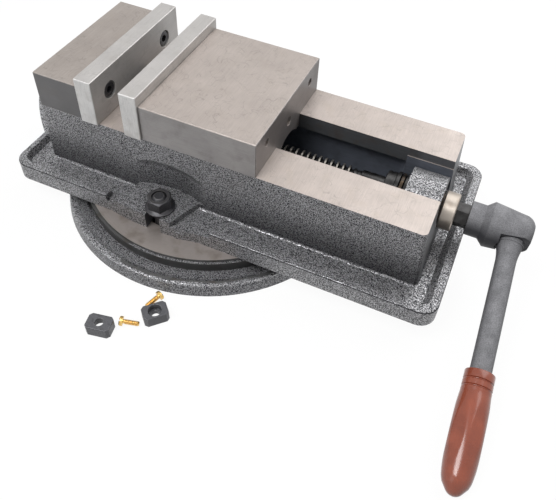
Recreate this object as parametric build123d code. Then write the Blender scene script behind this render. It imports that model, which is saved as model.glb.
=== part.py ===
from build123d import *
import os
from math import atan2, asin, cos, degrees, hypot, radians, sin, sqrt

# A 125 mm machine vise with a pull-down jaw, on a round swivel base.
# Millimetres. +Z is up and +X runs along the screw towards the crank.
# The origin is where the swivel axis meets the table.

# Clearances between pieces
running = 0.05            # radial, of a shaft that turns or slides in its bore
play = 0.3                # between castings that move past each other
bolt_room = 0.5           # radial, of a bolt in a plain hole
key_room = 0.1            # on each side of a key or a hexagon

# Swivel base
base_radius = 127.1       # at the foot
base_lean = 1.6           # how far the outer wall leans in
base_edge = 11.0          # height of the outer wall
base_edge_round = 2.5
ledge_width = 6.6         # from the foot to the raised ring
ring_width = 8.1
ring_rise = 1.8
groove_width = 2.8
groove_floor = 9.5
groove_lean = 0.2         # how far the groove's inner wall leans out to the shoulder
shoulder_width = 2.0      # narrow shoulder near the top of the turntable
shoulder_height = 18.0
base_height = 20.5        # top of the turntable
hub_radius = 22.0         # metal round the pivot, underneath
recess_roof = 9.0         # depth of the cored recess underneath
outer_recess_depth = 6.0
recess_rib = 6.0
recess_ribs = 8
ear_reach = 150.0
ear_half_width = 26.0
ear_corner = 12.0
ear_slot_width = 14.0
ear_slot_length = 22.0

# Annular T-slot and its bolts
slot_circle = 76.6        # radius of the bolt circle
bolt_size = 12.0
bolt_head = 20.0          # across the square head
bolt_head_height = 7.0
slot_floor = 3.5
slot_ceiling = 11.5
nut_angle_offset = 7.6    # how far left of the swivel axis the clamp bolts stand
nut_across_flats = 18.0
nut_height = 11.7
nut_flange_radius = 12.0
nut_flange_height = 2.6
nut_corner_height = 1.2   # how far the chamfer comes down the nut's corners
nut_corner_width = 2.0
bolt_end_rise = 0.7       # bolt end above the nut
slot_wall = 3.4           # iron between the T-slot and the keyways

# Table keys and their screws
key_width = 13.4
key_length = 18.9
key_height = 9.3
keyway_depth = 5.0
key_bore = 6.4
key_counterbore = 10.2
key_counterbore_depth = 5.5
key_chamfer = 2.2
key_screw_size = 4.0
key_screw_head = 7.4
key_screw_head_height = 2.8
key_screw_length = 12.0
key_screw_slot = 1.1
key_screw_slot_depth = 1.3
key_tap_radius = 1.65
key_tap_depth = 10.0

# The loose keys and screws on the table: how far each lies to the right of the swivel axis and in
# front of the base's foot, which way it is turned, and how far a screw is rolled over
far_key_right = -2.5
far_key_front = 47.2
far_key_heading = 11
near_key_right = 28.3
near_key_front = 21.2
near_key_heading = 46
far_screw_right = 10.0
far_screw_front = 36.4
far_screw_heading = 19
far_screw_roll = 25
near_screw_right = 21.8
near_screw_front = 6.1
near_screw_heading = -111
near_screw_roll = 70

# Pivot pin
pivot_radius = 14.0
pivot_bottom = 0.0
pivot_engagement = 9.5    # length of the pin inside the body
pivot_chamfer = 1.5

# Vise body
body_width = 119.9
body_left = -122.3
body_right = 196.6
body_rise = 65.1          # from the turntable to the bed
root_round = 2.0          # fillet where the wall meets the gutter
side_flare = 0.3          # how far the foot stands out past the bed, on each side
left_flare = 0.8
right_flare = 3.3
left_corner = 2.0         # rounding of the body's upright corners
right_corner = 4.0
flange_plate = 9.9        # gutter floor above the turntable
flange_left = 22.3        # flange past the body at the left end
flange_right = 23.3
flange_side = 25.5
flange_corner = 13.0
rim_rise = 5.6
rim_side = 7.0            # top width of the rim, on the long sides
rim_left = 5.0
rim_right = 6.9
rim_lean_side = 2.0       # how far the inner wall of the rim leans into the gutter
rim_lean_left = 2.7
rim_lean_right = 4.7
rim_round = 1.2
rim_corner = 9.1          # inner corners of the rim, at its top and at its foot
rim_foot_corner = 7.8

# Clamp pads, one on each long side of the flange
pad_rise = 5.1            # above the gutter floor
pad_centre = -8.8
pad_bulge_radius = 220.0
pad_bulge = 3.7           # how far the pads stand out past the flange
pad_inner_left = 26.6     # half widths at the body, and at the outer edge, from pad_centre
pad_inner_right = 28.3
pad_outer_left = 38.0
pad_outer_right = 15.6
drain_left = 43.5         # the rim is open between these distances from pad_centre
drain_right = 49.5
scoop_depth = 6.0         # room for a spanner in the side of the body
scoop_radius = 83.0
scoop_height = 36.0
scoop_round = 18.0
lug_left = 11.6
lug_right = 24.0
lug_radius = 90.0         # of its front face, about the swivel axis
lug_drop = 3.4

# Ways, channel and screw boss
way_slot = 46.6
way_thickness = 13.6
channel_left = -70.0
channel_width = 60.0
channel_floor = 35.0
channel_corner = 6.0
screw_drop = 28.7         # screw axis below the bed
boss_length = 27.6
boss_radius = 24.6
boss_face_radius = 16.5   # of the face cut round the screw for the collar
boss_slot = 45.0
boss_lead = 9.0           # length of the narrow slot in front of the boss
ledge_depth = 7.6         # the machined band above the narrow slot
under_recess = 3.0
under_recess_radius = 62.0
pivot_boss_radius = 24.0
core_depth = 7.0
core_wall = 7.5
core_rib = 6.0
core_columns = 2
core_rows = 4

# Jaws
jaw_width = 125.0
plate_height = 39.5
plate_thickness = 14.5
jaw_opening = 24.1        # between the jaw plates as drawn
block_height = 30.9
fixed_left_inset = 1.0
fixed_jaw_length = 40.5
fixed_jaw_width = 120.0
movable_jaw_length = 95.4
movable_jaw_width = 120.7
edge_break = 0.5
plate_screw_spacing = 80.7
plate_screw_height = 20.3
plate_screw_size = 8.0
plate_screw_head = 13.0
plate_screw_head_height = 8.0
plate_screw_length = 25.0
plate_screw_socket = 6.0
plate_counterbore = 14.5
plate_counterbore_depth = 8.6
guard_hole_spacing = 82.0
guard_hole_height = 19.4
guard_hole_radius = 3.4
guard_hole_depth = 14.0
jaw_bolt_size = 12.0
jaw_bolt_head = 18.0
jaw_bolt_socket = 10.0
jaw_bolt_spacing = 76.0
jaw_bolt_setback = 26.2   # from the jaw's front face
jaw_bolt_counterbore = 20.0
jaw_bolt_seat = 25.6      # bolt head seat below the bed
jaw_bolt_reach = 20.4     # bolt length inside the jaw
jaw_key_width = 10.0
jaw_key_height = 8.0
jaw_key_length = 90.0
jaw_key_setback = 9.2

# Pull-down mechanism inside the movable jaw
tongue_depth = 11.6
ball_radius = 12.0
ball_setback = 19.7       # ball centre behind the front of the jaw
ball_height = 4.4         # ball centre above the bed
pocket_width = 37.0
pocket_height = 20.4
pocket_front = 13.7       # pocket front wall behind the front of the jaw
pocket_rear = 65.7
shelf_rear = 24.7
shelf_drop = 1.6          # shelf top below the bed
hook_width = 34.0
hook_front = 15.7
hook_top = 17.4
stem_front = 31.7
stem_rear = 53.7
hook_chamfer = 4.0
nut_front = 15.7
nut_rear = 57.7
nut_width = 56.0
nut_bottom = 16.9         # below the screw axis
nut_chamfer = 8.0
arch_radius = 24.0
lock_screw_size = 8.0
lock_screw_length = 30.0
lock_screw_height = 9.4
lock_screw_socket = 4.0

# Screw, thrust bearing and collar
screw_radius = 10.0
screw_left = -60.0
thread_right = 128.4
undercut_radius = 8.5
undercut_width = 3.0
shoulder_radius = 16.0
shoulder_thickness = 8.0
bearing_radius = 17.5
race_thickness = 2.8
bearing_height = 10.0
ball_diameter = 5.4
ball_count = 10
race_track_radius = 2.85
cage_thickness = 2.4
bush_radius = 12.5
bush_flange_radius = 14.0
bush_flange = 1.2
collar_radius = 15.0
collar_left = 198.1
collar_length = 10.9
collar_chamfer = 0.8
collar_screw_size = 6.0
collar_screw_length = 5.0
hex_across_flats = 17.0
hex_end = 239.5

# Crank
hub_left = 218.9
hub_neck_radius = 13.25
hub_neck_end = 229.5
hub_flare_radius = 17.7
hub_flare_end = 234.6
hub_taper_radius = 15.2
hub_taper_end = 257.5
hub_end = 266.5
hub_nose_radius = 9.5
hub_nose_bulge = 1.6      # rise of the nose's curve over its chord
handle_x = 252.5          # where the handle axis crosses the screw axis
handle_cant = 3.2         # degrees outwards
hub_face_distance = 10.1  # the hub's flat from the screw axis, under the handle
hub_face_cant = 9.8       # degrees outwards
seat_distance = 8.4       # seat of the rod's collar from the screw axis
tenon_radius = 6.5
tenon_depth = 20.0
rod_collar_radius = 10.0
rod_collar_thickness = 4.3
rod_neck_radius = 9.6
rod_neck_end = 26.0
rod_neck_hollow = 0.4     # how far the neck is hollowed below a straight cone
rod_radius = 7.4
grip_start = 113.0
grip_end = 193.8
grip_lift = 0.4           # of the grip's tail above the table
tang_radius = 5.0
tang_end = 178.0
grip_ring_radius = 10.3
grip_ring_end = 128.0
grip_groove_depth = 0.9
grip_groove_width = 1.4
grip_grooves = (119.5, 124.5)
grip_belly_radius = 11.9
grip_belly = 157.0
grip_tail_radius = 9.75
grip_tail = 183.0
grip_shoulder_radius = 8.2
grip_shoulder = 187.5
grip_nose_radius = 6.5
grip_nose_angle = 35.0    # above the nose's equator, where its sphere begins
grip_flat = 11.05         # from the axis to each long flat
grip_turn = 7.0           # how far the flats are turned round the handle
crank_pin_radius = 2.0
crank_pin_end = 248.5

# Heights and places that follow
step_radius = base_radius - ledge_width
groove_radius = step_radius - ring_width
shoulder_edge = groove_radius - groove_width + groove_lean
turntable_radius = shoulder_edge - shoulder_width
slot_room = bolt_head / 2 + 2 * bolt_room
keyway_start = slot_circle + slot_room + slot_wall
bed = base_height + body_rise
screw_height = bed - screw_drop
gutter = base_height + flange_plate
rim_top = gutter + rim_rise
pad_top = gutter + pad_rise
way_underside = bed - way_thickness
boss_left = body_right - boss_length
narrow_left = boss_left - boss_lead
fixed_left = body_left + fixed_left_inset
fixed_front = fixed_left + fixed_jaw_length
fixed_plate_front = fixed_front + plate_thickness
movable_plate_front = fixed_plate_front + jaw_opening
jaw_front = movable_plate_front + plate_thickness
jaw_rear = jaw_front + movable_jaw_length
screw_hole_z = bed + plate_screw_height
plate_screw_tap = plate_screw_length + plate_counterbore_depth - plate_thickness + 2 * bolt_room
nut_y = sqrt(slot_circle ** 2 - nut_angle_offset ** 2)
nut_places = [(-nut_angle_offset, -nut_y), (-nut_angle_offset, nut_y)]
flange_x0 = body_left - flange_left
flange_x1 = body_right + flange_right
flange_half = body_width / 2 + flange_side
bolt_radius = bolt_size / 2
bearing_left = boss_left - bearing_height
shoulder_left = bearing_left - shoulder_thickness
ball_pitch = (screw_radius + bearing_radius) / 2
jaw_bolt_x = fixed_front - jaw_bolt_setback
jaw_key_x = fixed_front - jaw_key_setback
nose_centre = grip_end - grip_nose_radius
hub_flat_left = handle_x - rod_collar_radius - play
over = 1.0                # how far a cutter runs past the face it opens

# The handle droops towards the front until the grip's tail just clears the table
handle_lean = cos(radians(handle_cant))
tail_reach = hypot(grip_tail * handle_lean, grip_tail_radius)
tail_angle = atan2(grip_tail_radius, grip_tail * handle_lean)
handle_droop = asin((screw_height - grip_lift) / tail_reach) - tail_angle

# The screw's line, and the crank handle's line, as planes whose Z runs along them
screw_line = Plane(origin=(0, 0, screw_height), x_dir=(0, 1, 0), z_dir=(1, 0, 0))
handle_way = (sin(radians(handle_cant)), -handle_lean * cos(handle_droop), -handle_lean * sin(handle_droop))
handle_line = Plane(origin=(handle_x, 0, screw_height), x_dir=(1, 0, 0), z_dir=handle_way)
bearing_middle = screw_line * Pos(0, 0, (bearing_left + boss_left) / 2)


def block(x0, x1, y0, y1, z0, z1):
    """A rectangular block between two corners."""
    return Pos(x0, y0, z0) * Box(x1 - x0, y1 - y0, z1 - z0, align=(Align.MIN, Align.MIN, Align.MIN))


def rod(radius, low, high):
    """A round bar on the Z axis."""
    return Pos(0, 0, low) * Cylinder(radius, high - low, align=(Align.CENTER, Align.CENTER, Align.MIN))


def turned(*outline):
    """A body of revolution about Z, from an outline of (radius, height) points."""
    return revolve(Plane.XZ * make_face(Polyline(*outline, close=True)), Axis.Z)


def turned_curves(*lines):
    """A body of revolution about Z, from lines and curves drawn as (radius, height)."""
    return revolve(Plane.XZ * make_face(lines), Axis.Z)


def square_plan(x0, x1, half_width, corner):
    """A rounded rectangle between x0 and x1, centred on the X axis."""
    return Pos((x0 + x1) / 2, 0) * RectangleRounded(x1 - x0, 2 * half_width, corner)


def cap_screw(size, head, head_height, length, socket):
    """A socket head screw standing on its seat at Z 0, with its shank below."""
    screw = rod(head / 2, 0, head_height) + rod(size / 2, -length, 0)
    screw = chamfer(screw.faces().sort_by(Axis.Z)[-1].outer_wire().edges(), head_height / 12)
    return screw - extrude(Pos(0, 0, head_height / 2) * RegularPolygon(socket / 2, 6, False), head_height)


def base_casting():
    """The round iron base: turntable, groove, raised ring, slotted ears, and a cored underside."""
    lean_radius = base_radius - base_lean
    ring_foot = step_radius - ring_rise / 4
    outline = make_face(Polyline(
        (pivot_radius, 0), (base_radius, 0), (lean_radius, base_edge), (step_radius, base_edge),
        (ring_foot, base_edge + ring_rise), (groove_radius, base_edge + ring_rise),
        (groove_radius, groove_floor), (groove_radius - groove_width, groove_floor),
        (shoulder_edge, shoulder_height), (turntable_radius, shoulder_height),
        (turntable_radius, base_height), (pivot_radius, base_height), close=True))
    edge = outline.vertices().sort_by_distance((lean_radius, base_edge, 0))[0]
    base = revolve(Plane.XZ * fillet(edge, base_edge_round), Axis.Z)
    ears = extrude(square_plan(-ear_reach, ear_reach, ear_half_width, ear_corner), base_edge)
    base += ears - rod(step_radius, -over, base_edge + over)
    for side in (0, 180):
        half = ear_slot_width / 2
        slot_end = ear_reach - ear_slot_length + half
        slot = block(slot_end, ear_reach + over, -half, half, -over, base_edge + over)
        slot += Pos(slot_end, 0) * rod(half, -over, base_edge + over)
        base -= Rot(0, 0, side) * slot
    return base - base_recesses() - annular_slot() - keyways()


def base_recesses():
    """The cored hollows under the base, with their ribs left standing."""
    slot_inside = slot_circle - slot_room - recess_rib
    slot_outside = slot_circle + slot_room + recess_rib
    inner = rod(slot_inside, -over, recess_roof) - rod(hub_radius, -over, recess_roof)
    outer = rod(step_radius, -over, outer_recess_depth) - rod(slot_outside, -over, outer_recess_depth)
    for index in range(recess_ribs):
        rib = block(0, base_radius, -recess_rib / 2, recess_rib / 2, -over, recess_roof)
        inner -= Rot(0, 0, index * 360 / recess_ribs) * rib
        wall = key_width * 2 if index % 2 == 0 else recess_rib
        rib = block(0, base_radius, -wall / 2, wall / 2, -over, recess_roof)
        outer -= Rot(0, 0, index * 360 / recess_ribs) * rib
    return inner + outer


def annular_slot():
    """The T-slot that the clamp bolts run round in, and the pocket their heads go in by."""
    neck = bolt_radius + bolt_room
    inside = slot_circle - slot_room
    outside = slot_circle + slot_room
    slot = turned(
        (inside, slot_floor), (outside, slot_floor), (outside, slot_ceiling),
        (slot_circle + neck, slot_ceiling), (slot_circle + neck, base_height + over),
        (slot_circle - neck, base_height + over), (slot_circle - neck, slot_ceiling), (inside, slot_ceiling))
    entry = block(-outside, -inside, -slot_room, slot_room, -over, slot_ceiling)
    return slot + Rot(0, 0, 45) * entry


def keyways():
    """Four keyways under the base, each with its tapped hole. Those under the ears run out."""
    half = key_width / 2 + key_room
    cutters = []
    for index in range(4):
        end = ear_reach + over if index % 2 == 0 else keyway_start + key_length + 2 * bolt_room
        way = block(keyway_start, end, -half, half, -over, keyway_depth)
        tapped = Pos(keyway_start + key_length / 2, 0) * rod(key_tap_radius, 0, keyway_depth + key_tap_depth)
        cutters.append(Rot(0, 0, 90 * index) * (way + tapped))
    return cutters


def pivot():
    """The pin pressed into the base, with a centre hole in its top."""
    top = base_height + pivot_engagement
    pin = turned(
        (0, pivot_bottom), (pivot_radius - pivot_chamfer, pivot_bottom),
        (pivot_radius, pivot_bottom + pivot_chamfer), (pivot_radius, top - pivot_chamfer),
        (pivot_radius - pivot_chamfer, top), (pivot_chamfer, top), (0, top - 2 * pivot_chamfer))
    return pin


def table_key(counterbore_up):
    """One key with its screw hole, standing on Z 0."""
    key = Pos(0, 0, key_height / 2) * Box(key_length, key_width, key_height)
    key = chamfer(key.edges().filter_by(Axis.Z), key_chamfer)
    key = fillet(key.faces().sort_by(Axis.Z)[-1].edges(), key_chamfer / 3)
    key -= rod(key_bore / 2, -over, key_height + over)
    wide = rod(key_counterbore / 2, key_height - key_counterbore_depth, key_height + over)
    if not counterbore_up:
        wide = rod(key_counterbore / 2, -over, key_counterbore_depth)
    return key - wide


def on_table(right, front, heading):
    """A place on the table in front of the base's foot."""
    return Pos(right, -base_radius - front) * Rot(0, 0, heading)


def loose_keys():
    """The two keys lying in front of the base, one of them upside down."""
    upside_down = on_table(far_key_right, far_key_front, far_key_heading) * table_key(False)
    upright = on_table(near_key_right, near_key_front, near_key_heading) * table_key(True)
    return Compound([upside_down, upright])


def key_screw():
    """A slotted screw, its shank along +X from the back of its head at X 0."""
    screw = rod(key_screw_head / 2, -key_screw_head_height, 0) + rod(key_screw_size / 2, 0, key_screw_length)
    screw = fillet(screw.faces().sort_by(Axis.Z)[0].edges(), key_screw_head_height / 3)
    slot = Box(2 * key_screw_head, key_screw_slot, 2 * key_screw_slot_depth)
    screw -= Pos(0, 0, -key_screw_head_height) * slot
    return Rot(0, 90, 0) * screw


def lying_screw(place, roll):
    """A key screw lying on the table, resting on its head's rim and on the end of its shank."""
    tilt = degrees(atan2(key_screw_head / 2 - key_screw_size / 2, key_screw_length))
    height = key_screw_head / 2 * cos(radians(tilt))
    return place * Pos(0, 0, height) * Rot(0, tilt, 0) * Rot(roll, 0, 0) * key_screw()


def loose_screws():
    """The keys' two screws on the table beside them."""
    far_place = on_table(far_screw_right, far_screw_front, far_screw_heading)
    near_place = on_table(near_screw_right, near_screw_front, near_screw_heading)
    return Compound([lying_screw(far_place, far_screw_roll), lying_screw(near_place, near_screw_roll)])


def rounded_plan(left, right, half_width, z):
    """The body seen from above at one height, its right corners rounder than its left ones."""
    plan = Pos((left + right) / 2, 0, z) * Rectangle(right - left, 2 * half_width)
    plan = fillet(plan.vertices().group_by(Axis.X)[-1], right_corner)
    return fillet(plan.vertices().group_by(Axis.X)[0], left_corner)


def drafted_plan(height):
    """The body's plan at a height: its walls lean outwards from the bed down to the gutter."""
    drop = (bed - height) / (bed - gutter)
    left = body_left - left_flare * drop
    right = body_right + right_flare * drop
    return rounded_plan(left, right, body_width / 2 + side_flare * drop, height)


def body_block():
    """The block that carries the ways, rooted a little way inside the flange."""
    return loft([drafted_plan(gutter - flange_plate / 4), drafted_plan(bed)])


def root_edges(body):
    """The edges where the body's walls meet the gutter's floor."""
    level = body.edges().filter_by_position(Axis.Z, gutter - 0.01, gutter + 0.01)
    half = body_width / 2 + side_flare
    wide = level.filter_by_position(Axis.Y, -half - over, half + over)
    return wide.filter_by_position(Axis.X, body_left - left_flare - over, body_right + right_flare + over)


def flange_plan():
    """The flange seen from above, with the round bulges of the clamp pads."""
    plan = square_plan(flange_x0, flange_x1, flange_half, flange_corner)
    return plan + pad_bulges()


def pad_bulges():
    """The two round bulges that carry the clamp pads past the edge of the flange."""
    centre = flange_half + pad_bulge - pad_bulge_radius
    half_plane = Pos(pad_centre, pad_bulge_radius) * Rectangle(3 * pad_bulge_radius, 2 * pad_bulge_radius)
    bulge = Pos(pad_centre, centre) * Circle(pad_bulge_radius) & half_plane
    return bulge + mirror(bulge, Plane.XZ)


def flange():
    """The flange: a plate, and a rim with leaning inner walls round the coolant gutter."""
    plate = extrude(Pos(0, 0, base_height) * flange_plan(), flange_plate)
    plan = square_plan(flange_x0, flange_x1, flange_half, flange_corner)
    rim = extrude(Pos(0, 0, gutter) * plan, rim_rise)
    inner_top = square_plan(flange_x0 + rim_left, flange_x1 - rim_right, flange_half - rim_side, rim_corner)
    inner_foot = square_plan(
        flange_x0 + rim_left + rim_lean_left, flange_x1 - rim_right - rim_lean_right,
        flange_half - rim_side - rim_lean_side, rim_foot_corner)
    rim -= loft([Pos(0, 0, gutter) * inner_foot, Pos(0, 0, rim_top) * inner_top])
    rim = fillet(rim.edges().filter_by_position(Axis.Z, rim_top - 0.01, rim_top + 0.01), rim_round)
    for side in (-1, 1):
        outer = side * (flange_half + over)
        inner = side * (body_width / 2 + flange_side / 3)
        rim -= block(pad_centre - drain_left, pad_centre + drain_right,
                     min(inner, outer), max(inner, outer), gutter, rim_top + over)
    return plate + rim


def clamp_pads():
    """The raised pads under the clamp nuts, with slanted ends."""
    inner_y = body_width / 2 - 2 * root_round
    outer_y = flange_half + pad_bulge + over
    pad = make_face(Polyline(
        (pad_centre - pad_inner_left, inner_y), (pad_centre + pad_inner_right, inner_y),
        (pad_centre + pad_outer_right, outer_y), (pad_centre - pad_outer_left, outer_y), close=True))
    pads = (pad + mirror(pad, Plane.XZ)) & flange_plan()
    return extrude(Pos(0, 0, gutter - over) * pads, pad_rise + over)


def index_lug():
    """The small lug under the right end of the front pad, its front face round about the swivel axis."""
    lug = block(lug_left, lug_right, -lug_radius, -flange_half + over, base_height, gutter - lug_drop)
    return lug & rod(lug_radius, base_height, gutter - lug_drop)


def bolt_slots():
    """The open slots for the clamp bolts, through pads and flange."""
    half = bolt_radius + bolt_room
    outer = flange_half + 3 * pad_bulge
    slots = []
    for x, y in nut_places:
        slots.append(Pos(x, y) * rod(half, base_height - over, pad_top + over))
        slots.append(block(x - half, x + half, min(y, outer * y / nut_y), max(y, outer * y / nut_y),
                           base_height - over, pad_top + over))
    return slots


def spanner_scoops():
    """Shallow round-topped scoops in the body's sides, so that a spanner reaches the clamp nuts."""
    centre = body_width / 2 - scoop_depth + scoop_radius
    cutter = rod(scoop_radius, pad_top, pad_top + scoop_height)
    cutter = fillet(cutter.faces().sort_by(Axis.Z)[-1].edges(), scoop_round)
    cutter = Pos(-nut_angle_offset, -centre) * cutter
    cutter &= block(flange_x0, flange_x1, -body_width / 2 - 2 * root_round, 0, gutter, bed)
    return cutter + mirror(cutter, Plane.XZ)


def way_channel():
    """The slot between the ways, the wider channel under them, and the room above the screw boss."""
    half_slot = way_slot / 2
    half_boss = boss_slot / 2
    past = body_right + flange_right
    plan = square_plan(channel_left, narrow_left, channel_width / 2, channel_corner)
    channel = extrude(Pos(0, 0, channel_floor) * plan, way_underside - channel_floor)
    channel += block(channel_left, narrow_left, -half_slot, half_slot, way_underside - over, bed + over)
    channel += block(narrow_left - over, past, -half_slot, half_slot, bed - ledge_depth, bed + over)
    channel += block(narrow_left - over, past, -half_boss, half_boss, screw_height, bed - ledge_depth)
    channel += block(narrow_left - over, boss_left, -half_boss, half_boss, channel_floor, screw_height + over)
    return channel


def underside_recesses():
    """The relief inside the machined ring, the pivot bore, and the cored pockets past the turntable."""
    relief = rod(under_recess_radius, base_height - over, base_height + under_recess)
    relief -= rod(pivot_boss_radius, base_height - over, base_height + under_recess)
    cutters = [relief, rod(pivot_radius + running, base_height - over, base_height + pivot_engagement + over)]
    core_left = turntable_radius + core_wall
    cell_x = (flange_x1 - core_wall - core_left + core_rib) / core_columns
    cell_y = (2 * (flange_half - core_wall) + core_rib) / core_rows
    for column in range(core_columns):
        for row in range(core_rows):
            x = core_left + column * cell_x
            y = core_wall - flange_half + row * cell_y
            cutters.append(block(x, x + cell_x - core_rib, y, y + cell_y - core_rib,
                                 base_height - over, base_height + core_depth))
    return cutters


def jaw_bolt_holes():
    """Counterbored holes from below for the bolts that hold the fixed jaw."""
    holes = []
    for y in (-jaw_bolt_spacing / 2, jaw_bolt_spacing / 2):
        hole = rod(jaw_bolt_counterbore / 2, base_height - over, bed - jaw_bolt_seat)
        hole += rod(jaw_bolt_size / 2 + bolt_room, base_height, bed + over)
        holes.append(Pos(jaw_bolt_x, y) * hole)
    return holes


def key_seat(extra):
    """The cross key between the body and the fixed jaw, or its seat with the given room all round."""
    length = jaw_key_length + 2 * extra
    width = jaw_key_width + 2 * extra
    plan = Pos(jaw_key_x, 0, bed - jaw_key_height / 2 - extra) * SlotOverall(length, width, rotation=90)
    return extrude(plan, jaw_key_height + 2 * extra)


def body_casting():
    """The body: block, flange, pads and boss, cut for the ways, the screw, the bolts and the pivot."""
    body = body_block() + flange()
    body = fillet(root_edges(body), root_round) + clamp_pads() + index_lug()
    body -= spanner_scoops()
    body -= way_channel()
    body += screw_line * rod(boss_radius, boss_left, body_right)
    body -= screw_line * rod(bush_radius, boss_left - over, body_right + over)
    body -= screw_line * rod(boss_face_radius, body_right, body_right + right_flare + over)
    body -= bolt_slots() + underside_recesses() + jaw_bolt_holes()
    return body - key_seat(0)


def jaw_block(x0, x1, width):
    """A jaw's machined block on the bed, its edges broken."""
    jaw = block(x0, x1, -width / 2, width / 2, bed, bed + block_height)
    return chamfer(jaw.edges().filter_by_position(Axis.Z, bed + edge_break, bed + block_height), edge_break)


def plate_screw_seats():
    """The two plate screw places, as (y, z)."""
    return [(-plate_screw_spacing / 2, screw_hole_z), (plate_screw_spacing / 2, screw_hole_z)]


def facing(x, y, z, direction):
    """A place whose Z looks along +X or -X."""
    return Plane(origin=(x, y, z), x_dir=(0, 1, 0), z_dir=(direction, 0, 0))


def fixed_jaw_block():
    """The fixed jaw: tapped for the plate's screws in front and for the body's bolts below."""
    jaw = jaw_block(fixed_left, fixed_front, fixed_jaw_width)
    for y, z in plate_screw_seats():
        jaw -= facing(fixed_front, y, z, -1) * rod(plate_screw_size / 2, -over, plate_screw_tap)
    for y in (-jaw_bolt_spacing / 2, jaw_bolt_spacing / 2):
        jaw -= Pos(jaw_bolt_x, y) * rod(jaw_bolt_size / 2, bed - over, bed + jaw_bolt_reach + bolt_room)
    return jaw - key_seat(0)


def jaw_bolts():
    """The two bolts that hold the fixed jaw, heads down in the body."""
    bolts = []
    length = jaw_bolt_seat + jaw_bolt_reach
    for y in (-jaw_bolt_spacing / 2, jaw_bolt_spacing / 2):
        bolt = cap_screw(jaw_bolt_size, jaw_bolt_head, jaw_bolt_size, length, jaw_bolt_socket)
        bolts.append(Pos(jaw_bolt_x, y, bed - jaw_bolt_seat) * Rot(180, 0, 0) * bolt)
    return Compound(bolts)


def jaw_plate(back, direction):
    """A hardened jaw plate, its back against a jaw at x = back, its screw heads sunk in the front."""
    front = back + direction * plate_thickness
    plate = block(min(back, front), max(back, front), -jaw_width / 2, jaw_width / 2, bed, bed + plate_height)
    plate = chamfer(plate.edges(), edge_break)
    for y, z in plate_screw_seats():
        place = facing(front, y, z, direction)
        plate -= place * rod(plate_counterbore / 2, -plate_counterbore_depth, over)
        plate -= place * rod(plate_screw_size / 2 + bolt_room, -plate_thickness - over, over)
    return plate


def plate_screws(back, direction):
    """The two screws of a jaw plate."""
    seat = back + direction * (plate_thickness - plate_counterbore_depth)
    screw = cap_screw(plate_screw_size, plate_screw_head, plate_screw_head_height, plate_screw_length,
                      plate_screw_socket)
    return Compound([facing(seat, y, z, direction) * screw for y, z in plate_screw_seats()])


def movable_jaw_block():
    """The movable jaw: block, tongue between the ways, and the pocket with the half ball's seat."""
    half = way_slot / 2 - running
    jaw = jaw_block(jaw_front, jaw_rear, movable_jaw_width)
    jaw += block(jaw_front, jaw_rear, -half, half, bed - tongue_depth, bed + over)
    pocket_half = pocket_width / 2
    rear = jaw_front + pocket_rear
    top = bed + pocket_height
    jaw -= block(jaw_front + shelf_rear, rear, -pocket_half, pocket_half, bed - tongue_depth - over, top)
    jaw -= block(jaw_front + pocket_front, rear, -pocket_half, pocket_half, bed - shelf_drop, top)
    jaw -= half_ball_place() * Sphere(ball_radius + running)
    jaw -= screw_line * rod(arch_radius, rear - over, jaw_rear + over)
    for y, z in plate_screw_seats():
        jaw -= facing(jaw_front, y, z, 1) * rod(plate_screw_size / 2, -over, plate_screw_tap)
    for y in (-guard_hole_spacing / 2, guard_hole_spacing / 2):
        place = facing(jaw_rear, y, bed + guard_hole_height, -1)
        jaw -= place * rod(guard_hole_radius, -over, guard_hole_depth)
    place = facing(jaw_rear, 0, bed + lock_screw_height, -1)
    return jaw - place * rod(lock_screw_size / 2, -over, jaw_rear - rear + over)


def half_ball_place():
    """The centre of the half ball, where its flat crosses it."""
    return Pos(jaw_front + ball_setback, 0, bed + ball_height)


def half_ball_piece():
    """The half ball that turns the nut's push forwards and down, its flat at 45 degrees."""
    cutter = Pos(0, 0, ball_radius) * Box(3 * ball_radius, 3 * ball_radius, 2 * ball_radius)
    return half_ball_place() * (Sphere(ball_radius) - Rot(0, 45, 0) * cutter)


def nut_casting():
    """The nut under the ways, with the stem and the slanted hook that pulls the half ball down."""
    bottom = screw_height - nut_bottom
    wings = block(jaw_front + nut_front, jaw_front + nut_rear, -nut_width / 2, nut_width / 2,
                  bottom, way_underside - play)
    wings = chamfer(wings.faces().sort_by(Axis.Z)[0].edges().filter_by(Axis.X), nut_chamfer)
    flat_sum = ball_setback + ball_height
    root = -way_thickness - 2 * play
    hook = make_face(Polyline(
        (stem_front, root), (stem_rear, root), (stem_rear, hook_top - hook_chamfer),
        (stem_rear - hook_chamfer, hook_top), (hook_front + hook_chamfer, hook_top),
        (hook_front, hook_top - hook_chamfer), (hook_front, flat_sum - hook_front),
        (stem_front, flat_sum - stem_front), close=True))
    side_view = Plane(origin=(jaw_front, 0, bed), x_dir=(1, 0, 0), z_dir=(0, -1, 0))
    hook = extrude(side_view * hook, hook_width / 2, both=True)
    bore = screw_line * rod(screw_radius + running, screw_left, thread_right)
    return wings + hook - bore


def set_screw(size, length, socket):
    """A headless set screw from Z 0 to its length, its socket at the top."""
    screw = chamfer(rod(size / 2, 0, length).edges(), size / 12)
    return screw - extrude(Pos(0, 0, length - socket) * RegularPolygon(size / 4, 6, False), 2 * socket)


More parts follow.
